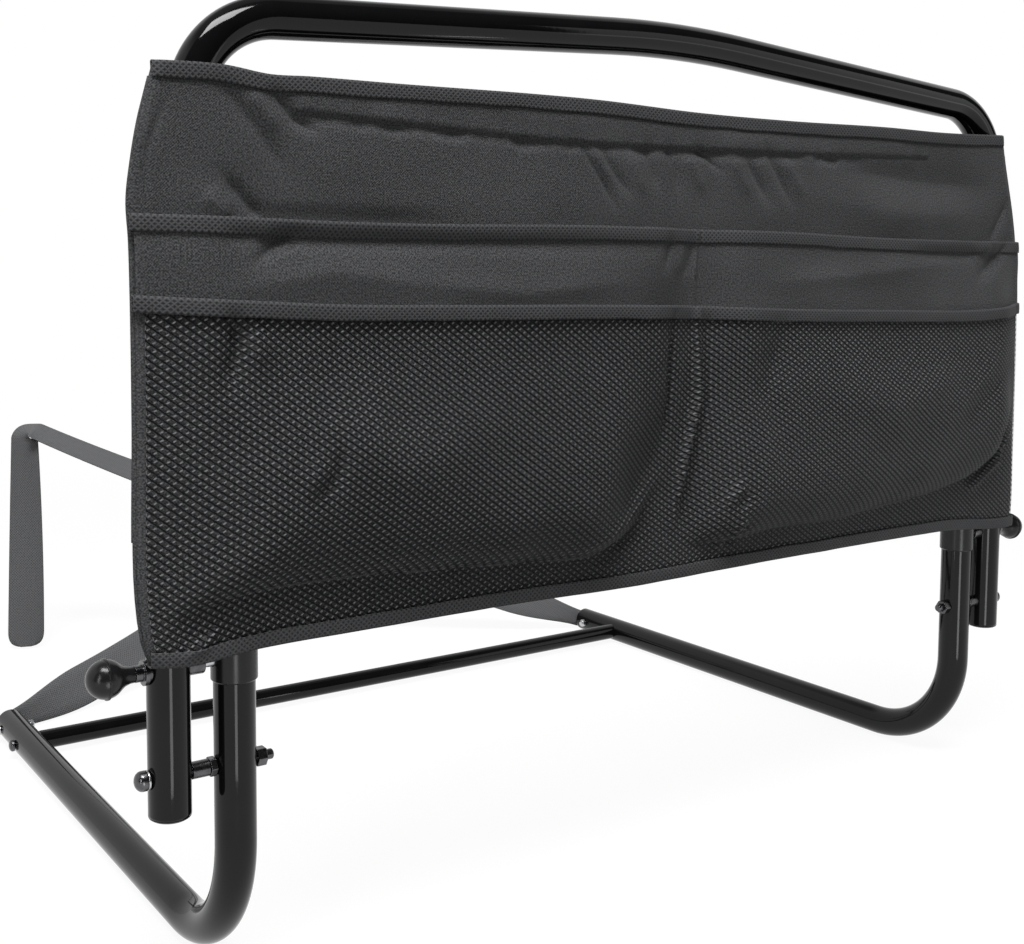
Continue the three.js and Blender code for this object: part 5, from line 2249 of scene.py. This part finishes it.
@dataclass
class Studio:
    """The floor, the lamps, the surroundings and the camera, in metres."""

    camera_place: tuple[float, float, float] = (-0.6210, -1.036833, 0.4039)
    forward: tuple[float, float, float] = (0.54806, 0.83304, -0.07529)
    up: tuple[float, float, float] = (0.0391, 0.0644, 0.99716)
    lens: float = 45.16
    sensor: float = 36
    shift: tuple[float, float] = (0.0640, -0.0896)
    nearest: float = 0.01
    floor_half: float = 12
    floor_drop: float = 0.0004
    floor_shade: float = 0.1
    floor_roughness: float = 0.9
    floor_glow: float = 0.92
    floor_near: float = 0.9
    floor_far: float = 1.9
    room_light: float = 0.02
    white_light: float = 0.85
    room_edge: tuple[float, float] = (-0.12, 0.02)
    ceiling_share: float = 0.25
    ceiling_edge: tuple[float, float] = (0.7, 0.85)
    lamps: tuple[Lamp, ...] = (
        Lamp("canopy", (-0.7, -1.1, 2.5), (-0.05, -0.35, 0.3), (1.5, 0.7), 66),
        Lamp("strip_left", (-2.3, -1.7, 0.9), (0, -0.38, 0.3), (0.16, 1.7), 13),
        Lamp("panel_right", (2.1, -2.1, 0.95), (0, -0.38, 0.4), (1.3, 1.5), 6.5),
        Lamp("kicker_left", (-0.414, -0.671, 0.09), (-0.35, -0.378, 0.13), (0.07, 0.15), 0.16, False),
        Lamp("kicker_right", (0.22, -0.648, 0.09), (0.35, -0.378, 0.13), (0.07, 0.15), 0.2, False),
    )

    def build(self) -> None:
        """Sets everything up."""
        self.build_camera()
        self.build_floor()
        self.build_world()
        for lamp in self.lamps:
            lamp.hang()
        bpy.context.scene.view_settings.view_transform = "Standard"

    def build_camera(self) -> None:
        """Sets the camera at the photograph's place."""
        data = bpy.data.cameras.new("photo_camera")
        data.sensor_fit = "HORIZONTAL"
        data.sensor_width = self.sensor
        data.lens = self.lens
        data.shift_x, data.shift_y = self.shift
        data.clip_start = self.nearest
        camera = shown_object("photo_camera", data)
        back = -Vector(self.forward).normalized()
        right = Vector(self.up).cross(back).normalized()
        turn = Matrix((right, back.cross(right), back)).transposed().to_4x4()
        camera.matrix_world = Matrix.Translation(self.camera_place) @ turn
        bpy.context.scene.camera = camera

    def build_floor(self) -> None:
        """Lays a white floor that shows the object's shadow and fades into the white beyond it."""
        mesh = bmesh.new()
        bmesh.ops.create_grid(mesh, x_segments=1, y_segments=1, size=self.floor_half)
        bmesh.ops.translate(mesh, vec=(0, 0, -self.floor_drop), verts=mesh.verts)
        data = bpy.data.meshes.new("floor")
        mesh.to_mesh(data)
        mesh.free()
        floor = shown_object("floor", data)
        recipe = Recipe("white_floor")
        length = recipe.add("VectorMath", operation="LENGTH")
        recipe.join(recipe.place(), length.inputs[0])
        beyond = recipe.spread(
            length.outputs["Value"], 0, 1, from_min=self.floor_near, from_max=self.floor_far,
            interpolation_type="SMOOTHSTEP",
        )
        recipe.feed("Base Color", recipe.shades(beyond, (self.floor_shade,) * 3, (0, 0, 0)))
        recipe.feed("Roughness", self.floor_roughness)
        recipe.feed("Specular IOR Level", 0)
        recipe.feed("Emission Color", (1, 1, 1, 1))
        ray = recipe.add("LightPath")
        seen = recipe.math("MAXIMUM", ray.outputs["Is Camera Ray"], ray.outputs["Is Glossy Ray"])
        seen = recipe.math("MAXIMUM", seen, ray.outputs["Is Transmission Ray"])
        glow = recipe.math("MULTIPLY", seen, recipe.spread(beyond, self.floor_glow, 1))
        recipe.feed("Emission Strength", glow)
        data.materials.append(recipe.material)

    def build_world(self) -> None:
        """Surrounds the object: white behind and beside it, a darker room in front and overhead."""
        world = bpy.data.worlds.new("studio")
        world.use_nodes = True
        bpy.context.scene.world = world
        nodes = Nodes(world.node_tree)
        background = nodes.tree.nodes["Background"]
        where = nodes.split(nodes.add("TexCoord").outputs["Generated"])
        behind = nodes.spread(
            where["Y"], self.room_light, self.white_light, from_min=self.room_edge[0],
            from_max=self.room_edge[1], interpolation_type="SMOOTHSTEP",
        )
        over = nodes.spread(
            where["Z"], 1, self.ceiling_share, from_min=self.ceiling_edge[0], from_max=self.ceiling_edge[1],
        )
        light = nodes.math("MULTIPLY", behind, over)
        ray = nodes.add("LightPath")
        seen = nodes.math("MAXIMUM", light, ray.outputs["Is Camera Ray"])
        nodes.join(seen, background.inputs["Strength"])
        background.inputs["Color"].default_value = (1, 1, 1, 1)


def main() -> None:
    """Builds the rail and its studio."""
    logging.basicConfig(level=logging.INFO, format="%(name)s: %(message)s")
    Studio().build()
    finishes = Finishes()
    sizes = RailSizes()
    handle = HandleTube(sizes, finishes)
    handle.build()
    BaseFrame(sizes, finishes).build()
    for side in Side:
        Hardware(sizes, finishes, side).build()
    Strap(sizes, finishes, Side.LEFT, lead_rise=6, arrival_drop=170).build()
    Strap(sizes, finishes, Side.RIGHT, lead_rise=38, arrival_drop=94).build()
    Pouch(handle, finishes).build()


if __name__ == "__main__":
    main()
